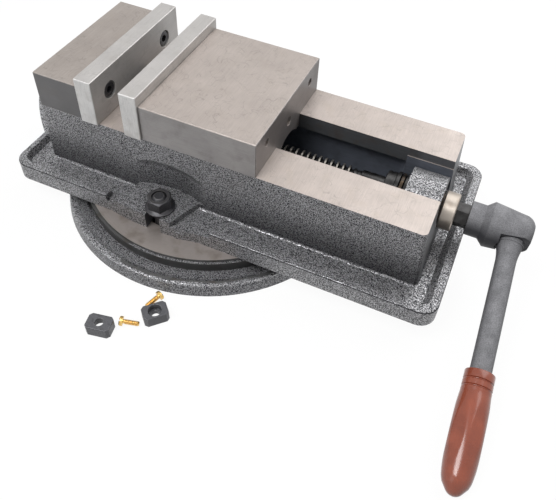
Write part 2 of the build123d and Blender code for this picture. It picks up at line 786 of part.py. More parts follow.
def screw_spindle():
    """The screw: threaded part, thread undercut, thrust shoulder, journal and hexagon."""
    groove = thread_right + undercut_width
    collar_end = collar_left + collar_length
    tip = screw_radius / 8
    spindle = turned(
        (0, screw_left), (screw_radius - tip, screw_left), (screw_radius, screw_left + tip),
        (screw_radius, thread_right), (undercut_radius, thread_right), (undercut_radius, groove),
        (screw_radius, groove), (screw_radius, shoulder_left), (shoulder_radius, shoulder_left),
        (shoulder_radius, bearing_left), (screw_radius, bearing_left), (screw_radius, collar_end),
        (0, collar_end))
    spindle = spindle.solid()
    hexagon = Pos(0, 0, collar_end) * RegularPolygon(hex_across_flats / 2, 6, False)
    return screw_line * (spindle + extrude(hexagon, hex_end - collar_end))


def race(bore):
    """A thrust race lying on Z 0 with its ball track on top."""
    track = revolve(Plane.XZ * (Pos(ball_pitch, bearing_height / 2) * Circle(race_track_radius)), Axis.Z)
    return rod(bearing_radius, 0, race_thickness) - rod(bore, -over, bearing_height) - track


def cage():
    """The cage between the races, with a hole for each ball."""
    ring = rod(bearing_radius - play, -cage_thickness / 2, cage_thickness / 2)
    ring -= rod(screw_radius + 2 * play, -cage_thickness, cage_thickness)
    hole = rod(ball_diameter / 2 + running, -cage_thickness, cage_thickness)
    return ring - [place * hole for place in ball_places()]


def ball_places():
    """Where the balls sit round the bearing."""
    return PolarLocations(ball_pitch, ball_count)


def bearing_balls():
    """The balls, in the middle of the bearing."""
    return Compound([bearing_middle * place * Sphere(ball_diameter / 2) for place in ball_places()])


def collar():
    """The ring that keeps the screw from being drawn in, with a radial hole for its set screw."""
    ring = rod(collar_radius, 0, collar_length) - rod(screw_radius, -over, collar_length + over)
    ring = chamfer(ring.edges().filter_by(GeomType.CIRCLE).group_by(SortBy.RADIUS)[-1], collar_chamfer)
    hole = Pos(0, 0, collar_length / 2) * Rot(90, 0, 0) * rod(collar_screw_size / 2, 0, collar_radius + over)
    return screw_line * Pos(0, 0, collar_left) * (ring - hole)


def collar_screw():
    """The collar's set screw, in the side away from view."""
    place = screw_line * Pos(0, 0, collar_left + collar_length / 2) * Rot(90, 0, 0)
    return place * Pos(0, 0, screw_radius) * set_screw(collar_screw_size, collar_screw_length - bolt_room,
                                                       collar_screw_size / 3)


def hub_casting():
    """The crank hub: a turned nose with a hexagon socket, a sloping flat and a seat for the handle."""
    outline = [
        Line((0, hub_left), (hub_neck_radius, hub_left)),
        Line((hub_neck_radius, hub_left), (hub_neck_radius, hub_neck_end)),
        Line((hub_neck_radius, hub_neck_end), (hub_flare_radius, hub_flare_end)),
        Line((hub_flare_radius, hub_flare_end), (hub_taper_radius, hub_taper_end)),
        SagittaArc((hub_taper_radius, hub_taper_end), (hub_nose_radius, hub_end), -hub_nose_bulge),
        Line((hub_nose_radius, hub_end), (0, hub_end)),
        Line((0, hub_end), (0, hub_left)),
    ]
    hub = screw_line * turned_curves(*outline)
    above = 3 * hub_face_distance
    flat = block(hub_flat_left - handle_x, hub_end, -hub_end, hub_end, hub_face_distance, above)
    hub -= handle_line * Rot(0, hub_face_cant - handle_cant, 0) * flat
    hub -= handle_line * rod(rod_collar_radius + play, seat_distance, above)
    hub -= handle_line * rod(tenon_radius, seat_distance - tenon_depth, above)
    socket = RegularPolygon(hex_across_flats / 2 + key_room, 6, False)
    hub -= screw_line * extrude(Pos(0, 0, hub_left - over) * socket, hex_end - hub_left + 2 * over)
    return hub - screw_line * rod(crank_pin_radius, crank_pin_end, hub_end + over)


def handle_rod():
    """The forged rod: tenon, collar, hollow neck, straight shank and the tang inside the grip."""
    tenon_start = seat_distance - tenon_depth
    collar_end = seat_distance + rod_collar_thickness
    outline = [
        Polyline((0, tang_end), (0, tenon_start), (tenon_radius, tenon_start), (tenon_radius, seat_distance),
                 (rod_collar_radius, seat_distance), (rod_collar_radius, collar_end),
                 (rod_neck_radius, collar_end)),
        SagittaArc((rod_neck_radius, collar_end), (rod_radius, rod_neck_end), rod_neck_hollow),
        Polyline((rod_radius, rod_neck_end), (rod_radius, grip_start), (tang_radius, grip_start),
                 (tang_radius, tang_end), (0, tang_end)),
    ]
    pin_hole = screw_line * rod(crank_pin_radius, crank_pin_end, hub_end + over)
    return handle_line * turned_curves(*outline) - pin_hole


def nose_point(angle):
    """A point on the grip's round nose, as (radius, distance along the handle)."""
    return (grip_nose_radius * cos(radians(angle)), nose_centre + grip_nose_radius * sin(radians(angle)))


def grip():
    """The moulded grip: a grooved ring, then a belly with six long flats and a round end."""
    half_groove = grip_groove_width / 2
    ring = []
    for place in grip_grooves:
        ring += [(grip_ring_radius, place - half_groove), (grip_ring_radius - grip_groove_depth, place),
                 (grip_ring_radius, place + half_groove)]
    nose_start = nose_point(grip_nose_angle)
    outline = [
        Polyline((0, tang_end), (tang_radius, tang_end), (tang_radius, grip_start),
                 (grip_ring_radius - half_groove, grip_start), (grip_ring_radius, grip_start + half_groove),
                 *ring, (grip_ring_radius, grip_ring_end)),
        Spline((grip_ring_radius, grip_ring_end), (grip_belly_radius, grip_belly),
               (grip_tail_radius, grip_tail), (grip_shoulder_radius, grip_shoulder), nose_start),
        ThreePointArc(nose_start, nose_point((grip_nose_angle + 90) / 2), (0, grip_end)),
        Line((0, grip_end), (0, tang_end)),
    ]
    handle = turned_curves(*outline)
    for index in range(6):
        flat = block(grip_flat, 2 * grip_flat, -grip_flat, grip_flat, grip_ring_end, grip_end)
        handle -= Rot(0, 0, grip_turn + 60 * index) * flat
    return handle_line * handle


def clamp_bolt():
    """A T-head bolt standing in the annular slot, its head against the slot's ceiling."""
    head_top = slot_ceiling - play
    end = pad_top + nut_height + bolt_end_rise
    head = Pos(0, 0, head_top - bolt_head_height / 2) * Box(bolt_head, bolt_head, bolt_head_height)
    shank = chamfer(rod(bolt_radius, head_top, end).edges().sort_by(Axis.Z)[-1], bolt_radius / 3)
    return head + shank


def clamp_bolts():
    """Both clamp bolts, each with its head square to the slot."""
    bolts = []
    for x, y in nut_places:
        bolts.append(Pos(x, y) * Rot(0, 0, degrees(atan2(y, x))) * clamp_bolt())
    return Compound(bolts)


def clamp_nut(x, y):
    """A flange nut on its pad: hexagon with rounded corners over a coned flange."""
    corner = nut_across_flats / sqrt(3)
    hexagon = extrude(RegularPolygon(nut_across_flats / 2, 6, False), nut_height)
    hexagon &= turned((0, 0), (corner, 0), (corner, nut_height - nut_corner_height),
                      (corner - nut_corner_width, nut_height), (0, nut_height))
    flange_edge = nut_flange_height / 2
    flange_disc = turned((0, 0), (nut_flange_radius, 0), (nut_flange_radius, flange_edge),
                         (nut_across_flats / 2, nut_flange_height), (0, nut_flange_height))
    nut = hexagon + flange_disc - rod(bolt_radius + running, -over, nut_height + over)
    return Pos(x, y, pad_top) * nut


def bush():
    """The bronze bush pressed into the boss, flanged at the crank end."""
    sleeve = rod(bush_radius, boss_left, body_right)
    sleeve += rod(bush_flange_radius, body_right, body_right + bush_flange)
    return screw_line * (sleeve - rod(screw_radius + running, boss_left - over, body_right + 2 * bush_flange))


def lock_screw():
    """The set screw that holds the nut's stem up to the half ball."""
    stem = jaw_front + stem_rear
    screw = set_screw(lock_screw_size, lock_screw_length, lock_screw_socket)
    return facing(stem + running, 0, bed + lock_screw_height, 1) * screw


pieces = {
    "swivel_base": base_casting(),
    "pivot_pin": pivot(),
    "table_keys": loose_keys(),
    "key_screws": loose_screws(),
    "vise_body": body_casting(),
    "fixed_jaw": fixed_jaw_block(),
    "fixed_jaw_key": key_seat(0),
    "fixed_jaw_bolts": jaw_bolts(),
    "fixed_jaw_plate": jaw_plate(fixed_front, 1),
    "fixed_plate_screws": plate_screws(fixed_front, 1),
    "t_bolts": clamp_bolts(),
    "front_clamp_nut": clamp_nut(*nut_places[0]),
    "back_clamp_nut": clamp_nut(*nut_places[1]),
    "screw_bush": bush(),
    "thrust_race_fixed": facing(boss_left, 0, screw_height, -1) * race(screw_radius + play),
    "thrust_race_turning": facing(bearing_left, 0, screw_height, 1) * race(screw_radius),
    "thrust_cage": bearing_middle * cage(),
    "bearing_balls": bearing_balls(),
    "lead_screw": screw_spindle(),
    "retaining_collar": collar(),
    "collar_set_screw": collar_screw(),
    "movable_jaw": movable_jaw_block(),
    "movable_jaw_plate": jaw_plate(jaw_front, -1),
    "movable_plate_screws": plate_screws(jaw_front, -1),
    "angle_lock_nut": nut_casting(),
    "half_ball": half_ball_piece(),
    "lock_set_screw": lock_screw(),
    "crank_hub": hub_casting(),
    "crank_rod": handle_rod(),
    "crank_grip": grip(),
    "crank_pin": screw_line * rod(crank_pin_radius, crank_pin_end, hub_end - running),
}

os.makedirs("parts", exist_ok=True)
for name, piece in pieces.items():
    export_step(piece, f"parts/{name}.step")
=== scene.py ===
import math
from math import cos, pi, radians, sin

import bmesh
import bpy
from mathutils import Matrix, Vector


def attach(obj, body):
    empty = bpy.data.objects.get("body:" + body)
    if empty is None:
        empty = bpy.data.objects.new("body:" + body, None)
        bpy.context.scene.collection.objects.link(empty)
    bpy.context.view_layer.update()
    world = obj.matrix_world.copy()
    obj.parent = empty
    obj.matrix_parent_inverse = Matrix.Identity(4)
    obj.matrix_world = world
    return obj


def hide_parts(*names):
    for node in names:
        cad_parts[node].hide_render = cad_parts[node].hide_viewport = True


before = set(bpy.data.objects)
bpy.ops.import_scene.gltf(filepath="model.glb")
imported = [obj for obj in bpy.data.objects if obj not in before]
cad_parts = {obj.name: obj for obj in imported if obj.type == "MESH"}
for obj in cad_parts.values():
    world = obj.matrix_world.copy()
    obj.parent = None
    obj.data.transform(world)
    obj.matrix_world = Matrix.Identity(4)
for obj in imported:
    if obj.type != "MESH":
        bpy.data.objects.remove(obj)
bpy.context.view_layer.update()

# Bench, light and camera
# The vise stands on a plain pale bench in a pale room. One soft lamp hangs over its front, a wider
# one stands behind it to the right, and a weak one lifts the shadows on its left.

mm = 0.001
camera_place = Vector((209.2, -367.1, 413.8)) * mm
camera_turn = 20.41             # degrees, to the left of +Y
camera_tilt = 46.71             # degrees below level
camera_roll = 4.18
camera_lens = 41.9
bench_size = 6.0
bench_white = 0.34
bench_glow = 0.84               # share of plain white in what the camera and reflections see
bench_glow_strength = 1.13
room_light = 0.14
overhead_lamp = {"place": (-0.25, -0.55, 1.20), "size": 0.6, "power": 11.0}
back_lamp = {"place": (0.55, 0.75, 1.05), "size": 1.3, "power": 13.0}
front_lamp = {"place": (-0.7, -1.3, 0.7), "size": 0.8, "power": 1.2}

camera_data = bpy.data.cameras.new("camera")
camera_data.lens = camera_lens
camera_data.shift_x = -0.0191
camera_data.shift_y = -0.0747
camera_data.clip_start = 0.01
camera = bpy.data.objects.new("camera", camera_data)
bpy.context.scene.collection.objects.link(camera)
camera.matrix_world = (
    Matrix.Translation(camera_place)
    @ Matrix.Rotation(radians(camera_turn), 4, "Z")
    @ Matrix.Rotation(radians(90 - camera_tilt), 4, "X")
    @ Matrix.Rotation(radians(camera_roll), 4, "Z")
)
bpy.context.scene.camera = camera
bpy.context.scene.view_settings.view_transform = "Standard"


def feed(tree, socket, value):
    """Joins a socket to another one, or sets it to a plain value."""
    if isinstance(value, bpy.types.NodeSocket):
        tree.links.new(value, socket)
    else:
        socket.default_value = value


def add(tree, kind, settings=None, **inputs):
    """A shader node with its own settings, and its inputs joined or set by name."""
    node = tree.nodes.new("ShaderNode" + kind)
    for name, value in (settings or {}).items():
        setattr(node, name, value)
    for name, value in inputs.items():
        feed(tree, node.inputs[name.replace("_", " ")], value)
    return node


def seen_white(tree):
    """1 for what the camera, a reflection or clear glass sees, and 0 for light that falls on things."""
    rays = add(tree, "LightPath").outputs
    first = add(tree, "Math", {"operation": "MAXIMUM"})
    feed(tree, first.inputs[0], rays["Is Camera Ray"])
    feed(tree, first.inputs[1], rays["Is Glossy Ray"])
    second = add(tree, "Math", {"operation": "MAXIMUM"})
    feed(tree, second.inputs[0], first.outputs[0])
    feed(tree, second.inputs[1], rays["Is Transmission Ray"])
    return second.outputs[0]


def lamp(name, place, size, power):
    """A square lamp that looks at the vise."""
    data = bpy.data.lights.new(name, "AREA")
    data.size = size
    data.energy = power
    made = bpy.data.objects.new(name, data)
    made.location = place
    made.rotation_euler = (Vector((0.05, 0, 0)) - Vector(place)).to_track_quat("-Z", "Y").to_euler()
    bpy.context.scene.collection.objects.link(made)


bench_mesh = bpy.data.meshes.new("bench")
half = bench_size / 2
bench_mesh.from_pydata([(-half, -half, 0), (half, -half, 0), (half, half, 0), (-half, half, 0)], [], [(0, 1, 2, 3)])
bench = bpy.data.objects.new("bench", bench_mesh)
bpy.context.scene.collection.objects.link(bench)

bench_finish = bpy.data.materials.new("bench_white")
bench_finish.use_nodes = True
tree = bench_finish.node_tree
shader = tree.nodes["Principled BSDF"]
shader.inputs["Base Color"].default_value = (bench_white, bench_white, bench_white, 1)
shader.inputs["Roughness"].default_value = 0.8
glow = add(tree, "Emission", Strength=bench_glow_strength)
share = add(tree, "Math", {"operation": "MULTIPLY"})
feed(tree, share.inputs[0], seen_white(tree))
share.inputs[1].default_value = bench_glow
both = add(tree, "MixShader", Fac=share.outputs[0])
tree.links.new(shader.outputs[0], both.inputs[1])
tree.links.new(glow.outputs[0], both.inputs[2])
tree.links.new(both.outputs[0], tree.nodes["Material Output"].inputs["Surface"])
bench_mesh.materials.append(bench_finish)

room = bpy.data.worlds.new("room")
bpy.context.scene.world = room
room.use_nodes = True
tree = room.node_tree
strength = add(tree, "Mix", {"data_type": "FLOAT"})
feed(tree, strength.inputs[0], seen_white(tree))
strength.inputs[2].default_value = room_light
strength.inputs[3].default_value = 1.0
tree.nodes["Background"].inputs["Color"].default_value = (1, 1, 1, 1)
tree.links.new(strength.outputs[0], tree.nodes["Background"].inputs["Strength"])
lamp("overhead", **overhead_lamp)
lamp("back", **back_lamp)
lamp("front", **front_lamp)

# Swivel base
# A round grey iron casting, sprayed all over with hammertone paint and then faced in a lathe: the
# turntable, its low shoulder and the underside are bare iron, and the groove round them is coloured dark.

base_height = 20.5 * mm
base_shoulder = 18.0 * mm
turntable_radius = 107.8 * mm
groove_outside = 112.4 * mm
ring_top = 12.8 * mm
ring_outside = 120.5 * mm
t_slot_floor = 3.5 * mm
t_slot_inside = 65.6 * mm
t_slot_outside = 87.6 * mm
cast_edge = 0.7 * mm            # how far a cast edge is rounded
paint_vein = (0.018, 0.018, 0.021, 1)
paint_flake = (0.60, 0.60, 0.615, 1)
thin_flake = (0.42, 0.42, 0.435, 1)     # where the spray caught less: the base's wall and its ring
paint_flake_size = 0.75 * mm
iron_tone = (0.33, 0.295, 0.275, 1)
iron_stain = (0.15, 0.12, 0.10, 1)


def blended(tree, share, first, second, mode="MIX"):
    """A mix of two colours."""
    node = add(tree, "Mix", {"data_type": "RGBA", "blend_type": mode})
    feed(tree, node.inputs[0], share)
    feed(tree, node.inputs[6], first)
    feed(tree, node.inputs[7], second)
    return node.outputs[2]


def grade(tree, value, low, high, first=0.0, last=1.0):
    """Value spread from low and high to first and last, and kept between them."""
    return add(tree, "MapRange", Value=value, From_Min=low, From_Max=high, To_Min=first, To_Max=last).outputs[0]


def calc(tree, operation, first, second=0.0):
    """One sum with two numbers."""
    node = add(tree, "Math", {"operation": operation})
    feed(tree, node.inputs[0], first)
    feed(tree, node.inputs[1], second)
    return node.outputs[0]


def vector_calc(tree, operation, first, second):
    """One sum with two vectors."""
    node = add(tree, "VectorMath", {"operation": operation})
    feed(tree, node.inputs[0], first)
    feed(tree, node.inputs[1], second)
    return node.outputs["Value"] if operation in ("LENGTH", "DOT_PRODUCT") else node.outputs[0]


def noise(tree, place, size, detail=3.0):
    """Noise with blotches about as wide as size."""
    return add(tree, "TexNoise", Vector=place, Scale=1 / size, Detail=detail).outputs[0]


def new_group(name, inputs, outputs):
    """A shader node group: its tree, what comes in and what goes out."""
    group = bpy.data.node_groups.new(name, "ShaderNodeTree")
    for label, kind in inputs.items():
        group.interface.new_socket(label, in_out="INPUT", socket_type="NodeSocket" + kind)
    for label, kind in outputs.items():
        group.interface.new_socket(label, in_out="OUTPUT", socket_type="NodeSocket" + kind)
    return group, group.nodes.new("NodeGroupInput").outputs, group.nodes.new("NodeGroupOutput").inputs


def use(tree, group, **inputs):
    """A node group placed in a material, with its own values; gives its outputs."""
    node = tree.nodes.new("ShaderNodeGroup")
    node.node_tree = group
    for name, value in inputs.items():
        feed(tree, node.inputs[name.replace("_", " ")], value)
    return node.outputs


def new_finish(name, metallic, roughness=0.5, **plain):
    """A material with its shader, and the point on the piece that its pattern follows."""
    made = bpy.data.materials.new(name)
    made.use_nodes = True
    tree = made.node_tree
    shader = tree.nodes["Principled BSDF"]
    shader.inputs["Metallic"].default_value = metallic
    shader.inputs["Roughness"].default_value = roughness
    for label, value in plain.items():
        shader.inputs[label.replace("_", " ")].default_value = value
    return made, tree, shader, add(tree, "TexCoord").outputs["Object"]


def raise_from(tree, shader, height, depth):
    """Lets a height pattern stand out from the surface by depth."""
    node = add(tree, "Bump", Height=height, Distance=depth, Strength=1.0)
    tree.links.new(node.outputs[0], shader.inputs["Normal"])


def hammertone_group():
    """Hammertone paint: a raised network of pale metallic flakes with dark veins between them."""
    group, given, made = new_group(
        "hammertone_paint",
        {"Place": "Vector", "Flake Size": "Float", "Vein": "Color", "Flake": "Color"},
        {"Color": "Color", "Roughness": "Float", "Height": "Float"})
    scale = calc(group, "DIVIDE", 1.0, given["Flake Size"])
    worms = add(group, "TexNoise", Vector=given["Place"], Scale=scale, Detail=1.5, Distortion=1.0).outputs[0]
    body = grade(group, worms, 0.43, 0.59)
    grain = add(group, "TexNoise", Vector=given["Place"], Scale=calc(group, "MULTIPLY", scale, 2.7), Detail=1.0).outputs[0]
    flake = calc(group, "MULTIPLY", body, grade(group, grain, 0.3, 0.7, 0.55, 1.0))
    feed(group, made["Color"], blended(group, flake, given["Vein"], given["Flake"]))
    feed(group, made["Roughness"], grade(group, body, 0.0, 1.0, 0.42, 0.28))
    feed(group, made["Height"], body)
    return group


def machined_group():
    """Bare machined metal: fine tool lines, cloudy tone, stains, and thin curved handling scratches."""
    group, given, made = new_group(
        "machined_metal",
        {"Place": "Vector", "Tool Path": "Vector", "Metal": "Color", "Stain": "Color", "Staining": "Float",
         "Scratching": "Float"},
        {"Color": "Color", "Roughness": "Float", "Height": "Float"})
    place = given["Place"]
    lines = add(group, "TexNoise", Vector=given["Tool Path"], Scale=1.0, Detail=3.0).outputs[0]
    cloud = grade(group, noise(group, place, 22 * mm, 4.0), 0.3, 0.7)
    marks = calc(group, "ABSOLUTE", calc(group, "SUBTRACT", noise(group, place, 30 * mm, 1.5), 0.5))
    thin = grade(group, marks, 0.0, 0.0035, 1.0, 0.0)
    elsewhere = vector_calc(group, "ADD", place, (0.7, 0.3, 0.1))
    for size, level in ((19 * mm, 0.47), (14 * mm, 0.53), (9 * mm, 0.5)):
        crossing = calc(group, "ABSOLUTE", calc(group, "SUBTRACT", noise(group, elsewhere, size, 1.5), level))
        thin = calc(group, "MAXIMUM", thin, grade(group, crossing, 0.0, 0.010, 1.0, 0.0))
    broken = grade(group, noise(group, place, 7 * mm, 2.0), 0.40, 0.60)
    scratches = calc(group, "MULTIPLY", calc(group, "MULTIPLY", thin, broken), given["Scratching"])
    stains = calc(group, "MULTIPLY", grade(group, noise(group, place, 12 * mm, 5.0), 0.52, 0.72), given["Staining"])
    tone = blended(group, cloud, (0.86, 0.86, 0.86, 1), (1, 1, 1, 1))
    tone = blended(group, 1.0, tone, blended(group, grade(group, lines, 0.3, 0.7), (0.84, 0.84, 0.84, 1), (1, 1, 1, 1)),
                   "MULTIPLY")
    metal = blended(group, 1.0, given["Metal"], tone, "MULTIPLY")
    metal = blended(group, stains, metal, given["Stain"])
    feed(group, made["Color"], blended(group, calc(group, "MULTIPLY", scratches, 0.35), metal, (0.12, 0.11, 0.10, 1)))
    feed(group, made["Roughness"], grade(group, cloud, 0.0, 1.0, 0.46, 0.36))
    feed(group, made["Height"], calc(group, "SUBTRACT", lines, scratches))
    return group


def edge_wear_and_shade_group():
    """Where rounded edges are rubbed, more in some places than in others, and where painted shade lies dark along them.
    """
    group, given, made = new_group(
        "edge_wear_and_shade", {"Place": "Vector", "Patch Size": "Float"}, {"Mask": "Float", "Painted Shade": "Float"})
    marked = add(group, "Attribute", {"attribute_name": "edge_mark"}).outputs["Fac"]
    edge = calc(group, "MAXIMUM", marked, 0.0)
    # painted shade: faces marked below zero give the dark line along creases and rim edges
    feed(group, made["Painted Shade"], calc(group, "MAXIMUM", calc(group, "MULTIPLY", marked, -1.0), 0.0))
    scale = calc(group, "DIVIDE", 1.0, given["Patch Size"])
    patches = grade(group, add(group, "TexNoise", Vector=given["Place"], Scale=scale, Detail=4.0).outputs[0], 0.35, 0.65)
    feed(group, made["Mask"], calc(group, "MULTIPLY", edge, patches))
    return group


def lathe_path_group():
    """Where a lathe's tool ran: a place that changes only across its rings and along its axis."""
    group, given, made = new_group(
        "lathe_path", {"Place": "Vector", "Centre": "Vector", "Across": "Vector", "Pitch": "Float"}, {"Tool Path": "Vector"})
    from_centre = vector_calc(group, "SUBTRACT", given["Place"], given["Centre"])
    across = vector_calc(group, "MULTIPLY", from_centre, given["Across"])
    along = vector_calc(group, "SUBTRACT", from_centre, across)
    path = add(group, "CombineXYZ", X=vector_calc(group, "LENGTH", across, (0, 0, 0)),
               Y=vector_calc(group, "DOT_PRODUCT", along, (1, 1, 1))).outputs[0]
    fine = add(group, "VectorMath", {"operation": "SCALE"}, Vector=path, Scale=calc(group, "DIVIDE", 1.0, given["Pitch"]))
    feed(group, made["Tool Path"], fine.outputs[0])
    return group


hammertone_paint = hammertone_group()
machined_metal = machined_group()
edge_wear_and_shade = edge_wear_and_shade_group()
lathe_path = lathe_path_group()


def paint_finish(name, flake_size, vein, flake, foot=None):
    """Hammertone paint, rubbed paler along its edges and darkened along marked ones as painted shade; foot gives the
    heights between which a painted shade, darkest at the foot, fades out.
    """
    made, tree, shader, place = new_finish(name, 0.9)
    if foot:
        low, high = foot
        height = add(tree, "SeparateXYZ", Vector=place).outputs[2]
        # painted shade: the flakes darken towards the vein colour low on the walls, standing in for the dark gutter
        # that the glossy walls mirror
        flake = blended(tree, grade(tree, height, low, high, 0.65, 0.0), flake, vein)
    coat = use(tree, hammertone_paint, Place=place, Flake_Size=flake_size, Vein=vein, Flake=flake)
    edge = use(tree, edge_wear_and_shade, Place=place, Patch_Size=4 * mm)
    rubbed = blended(tree, calc(tree, "MULTIPLY", edge["Mask"], 0.55), coat["Color"], (0.62, 0.62, 0.63, 1))
    # painted shade darkens the marked creases and rim edges towards the vein colour
    feed(tree, shader.inputs["Base Color"], blended(tree, calc(tree, "MULTIPLY", edge["Painted Shade"], 0.9), rubbed, vein))
    feed(tree, shader.inputs["Roughness"], coat["Roughness"])
    raise_from(tree, shader, coat["Height"], 0.18 * mm)
    return made


def machined_finish(name, metal, stain, path, staining=0.3, scratching=0.5, metallic=0.3, depth=0.012):
    """Bare machined metal; path gives the tool's path from the tree and the place on the piece."""
    made, tree, shader, place = new_finish(name, metallic)
    cut = use(tree, machined_metal, Place=place, Tool_Path=path(tree, place), Metal=metal, Stain=stain,
              Staining=staining, Scratching=scratching)
    bright = use(tree, edge_wear_and_shade, Place=place, Patch_Size=6 * mm)["Mask"]
    feed(tree, shader.inputs["Base Color"],
         blended(tree, calc(tree, "MULTIPLY", bright, 0.25), cut["Color"], (0.85, 0.83, 0.80, 1)))
    feed(tree, shader.inputs["Roughness"], cut["Roughness"])
    raise_from(tree, shader, cut["Height"], depth * mm)
    return made


def straight_path(width, length, along):
    """A tool path of straight lines: along is 0, 1 or 2 for X, Y or Z."""
    scale = [1 / width] * 3
    scale[along] = 1 / length
    return lambda tree, place: vector_calc(tree, "MULTIPLY", place, tuple(scale))


def round_path(centre, across, pitch):
    """A tool path of rings round an axis; across has a 0 for the axis and a 1 for the other two."""
    return lambda tree, place: use(tree, lathe_path, Place=place, Centre=centre, Across=across, Pitch=pitch)["Tool Path"]


def softened(node, body, finishes, width, choose=lambda centre, normal: 0, segments=2, sharp=30,
             shaded=lambda centre, normal, rounded: False):
    """Stands for a CAD piece: its edges rounded, a finish for each face, and painted shade on the faces that its last
    argument picks.
    """
    form = bmesh.new()
    form.from_mesh(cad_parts[node].data)
    bmesh.ops.remove_doubles(form, verts=form.verts, dist=1e-6)
    bmesh.ops.dissolve_limit(form, angle_limit=radians(1), verts=form.verts, edges=form.edges)
    form.normal_update()
    edge_layer = form.faces.layers.float.new("edge_mark")
    for face in form.faces:
        face.material_index = choose(face.calc_center_median(), face.normal)
        face.smooth = True
    edges = [edge for edge in form.edges if edge.is_manifold and edge.calc_face_angle() > radians(sharp)]
    rounded = bmesh.ops.bevel(form, geom=edges, offset=width, offset_type="OFFSET", segments=segments, profile=0.5,
                              affect="EDGES", clamp_overlap=True, material=-1)
    for face in rounded["faces"]:
        face[edge_layer] = 1.0
        face.smooth = True
    form.normal_update()
    # painted shade: the faces picked here are marked for a dark line
    for face in form.faces:
        if shaded(face.calc_center_median(), face.normal, face[edge_layer] > 0):
            face[edge_layer] = -1.0
    mesh = bpy.data.meshes.new(node + "_soft")
    form.to_mesh(mesh)
    form.free()
    for finish in finishes:
        mesh.materials.append(finish)
    mesh.set_sharp_from_angle(angle=radians(46))
    piece = bpy.data.objects.new(node + "_soft", mesh)
    bpy.context.scene.collection.objects.link(piece)
    even = piece.modifiers.new("even_shading", "WEIGHTED_NORMAL")
    even.keep_sharp = True
    even.weight = 100
    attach(piece, body)
    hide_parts(node)
    return piece


grey_paint = paint_finish("grey_hammertone", paint_flake_size, paint_vein, paint_flake)
faced_iron = machined_finish("faced_iron", iron_tone, iron_stain, round_path((0, 0, 0), (1, 1, 0), 0.5 * mm), 0.6, 0.3)
slot_iron = machined_finish("slot_iron", (0.10, 0.10, 0.10, 1), (0.05, 0.04, 0.03, 1),
                            round_path((0, 0, 0), (1, 1, 0), 0.8 * mm), 0.9, 0.0, 0.2)


def base_face(centre, normal):
    """Which finish a face of the base has: 0 paint, 1 faced iron, 2 the dark slot and groove, 3 thin paint."""
    reach = Vector((centre.x, centre.y)).length
    if t_slot_inside - mm < reach < t_slot_outside + mm and t_slot_floor - mm < centre.z < base_height - mm / 5:
        return 2
    if turntable_radius - mm / 2 < reach < groove_outside - mm / 2 and centre.z < base_height - mm / 5:
        return 1 if normal.z > 0.9 and centre.z > base_shoulder - mm / 5 else 2
    on_top = normal.z > 0.9 and centre.z > base_height - mm / 5
    underneath = normal.z < -0.9 and centre.z < mm / 5
    if on_top or underneath:
        return 1
    return 3 if abs(normal.z) < 0.5 or abs(centre.z - ring_top) < mm / 5 else 0


thin_paint = paint_finish("thin_hammertone", paint_flake_size, paint_vein, thin_flake)


def base_crease_shade(centre, normal, rounded):
    """Painted shade: a dark line at the foot of the raised ring."""
    return rounded and centre.z < ring_top - mm and abs(Vector((centre.x, centre.y)).length - ring_outside) < 2 * mm


softened("swivel_base", "base", [grey_paint, faced_iron, slot_iron, thin_paint], cast_edge, base_face, shaded=base_crease_shade)

# Pivot pin
# A ground steel pin pressed into the middle of the base; the body turns on it. Only its top shows,
# and only when the body is lifted off.

steel_grey = (0.34, 0.33, 0.32, 1)
steel_brown = (0.14, 0.10, 0.07, 1)


def upright_rings(x, y, pitch):
    """A lathe's tool path round an upright axis."""
    return round_path((x, y, 0), (1, 1, 0), pitch)


turned_pin = machined_finish("turned_pin", steel_grey, steel_brown, upright_rings(0, 0, 0.3 * mm), 0.2, 0.2, 0.7)
softened("pivot_pin", "base", [turned_pin], 0.3 * mm)

# Table keys
# Two small steel blocks that would sit in the keyways under the base and in a T-slot of the machine
# table. They were tumbled and blackened, so their edges are soft and their faces matt.

key_edge = 0.8 * mm
key_black = (0.086, 0.087, 0.096, 1)
key_rubbed = (0.17, 0.17, 0.18, 1)


def blackening_group():
    """Blackened steel: matt black with oily patches, rubbed through along its edges."""
    group, given, made = new_group(
        "blackening",
        {"Place": "Vector", "Patch Size": "Float", "Black": "Color", "Rubbed": "Color", "Edge": "Float"},
        {"Color": "Color", "Roughness": "Float", "Height": "Float"})
    scale = calc(group, "DIVIDE", 1.0, given["Patch Size"])
    oily = grade(group, add(group, "TexNoise", Vector=given["Place"], Scale=scale, Detail=4.0).outputs[0], 0.35, 0.7)
    grain = add(group, "TexNoise", Vector=given["Place"], Scale=calc(group, "MULTIPLY", scale, 9.0), Detail=2.0).outputs[0]
    deep = blended(group, oily, given["Black"], (0.0, 0.0, 0.0, 1))
    black = blended(group, calc(group, "MULTIPLY", oily, 0.35), given["Black"], deep)
    speck = blended(group, grade(group, grain, 0.35, 0.75, 0.0, 0.35), black, given["Rubbed"])
    feed(group, made["Color"], blended(group, given["Edge"], speck, given["Rubbed"]))
    feed(group, made["Roughness"], grade(group, oily, 0.0, 1.0, 0.50, 0.30))
    feed(group, made["Height"], grain)
    return group


blackening = blackening_group()


def blackened_finish(name, black, rubbed, patch_size, metallic, rubbing=0.6, grain=0.02):
    """Blackened steel, rubbed at its edges."""
    made, tree, shader, place = new_finish(name, metallic)
    edge = calc(tree, "MULTIPLY", use(tree, edge_wear_and_shade, Place=place, Patch_Size=patch_size)["Mask"], rubbing)
    coat = use(tree, blackening, Place=place, Patch_Size=patch_size, Black=black, Rubbed=rubbed, Edge=edge)
    feed(tree, shader.inputs["Base Color"], coat["Color"])
    feed(tree, shader.inputs["Roughness"], coat["Roughness"])
    raise_from(tree, shader, coat["Height"], grain * mm)
    return made


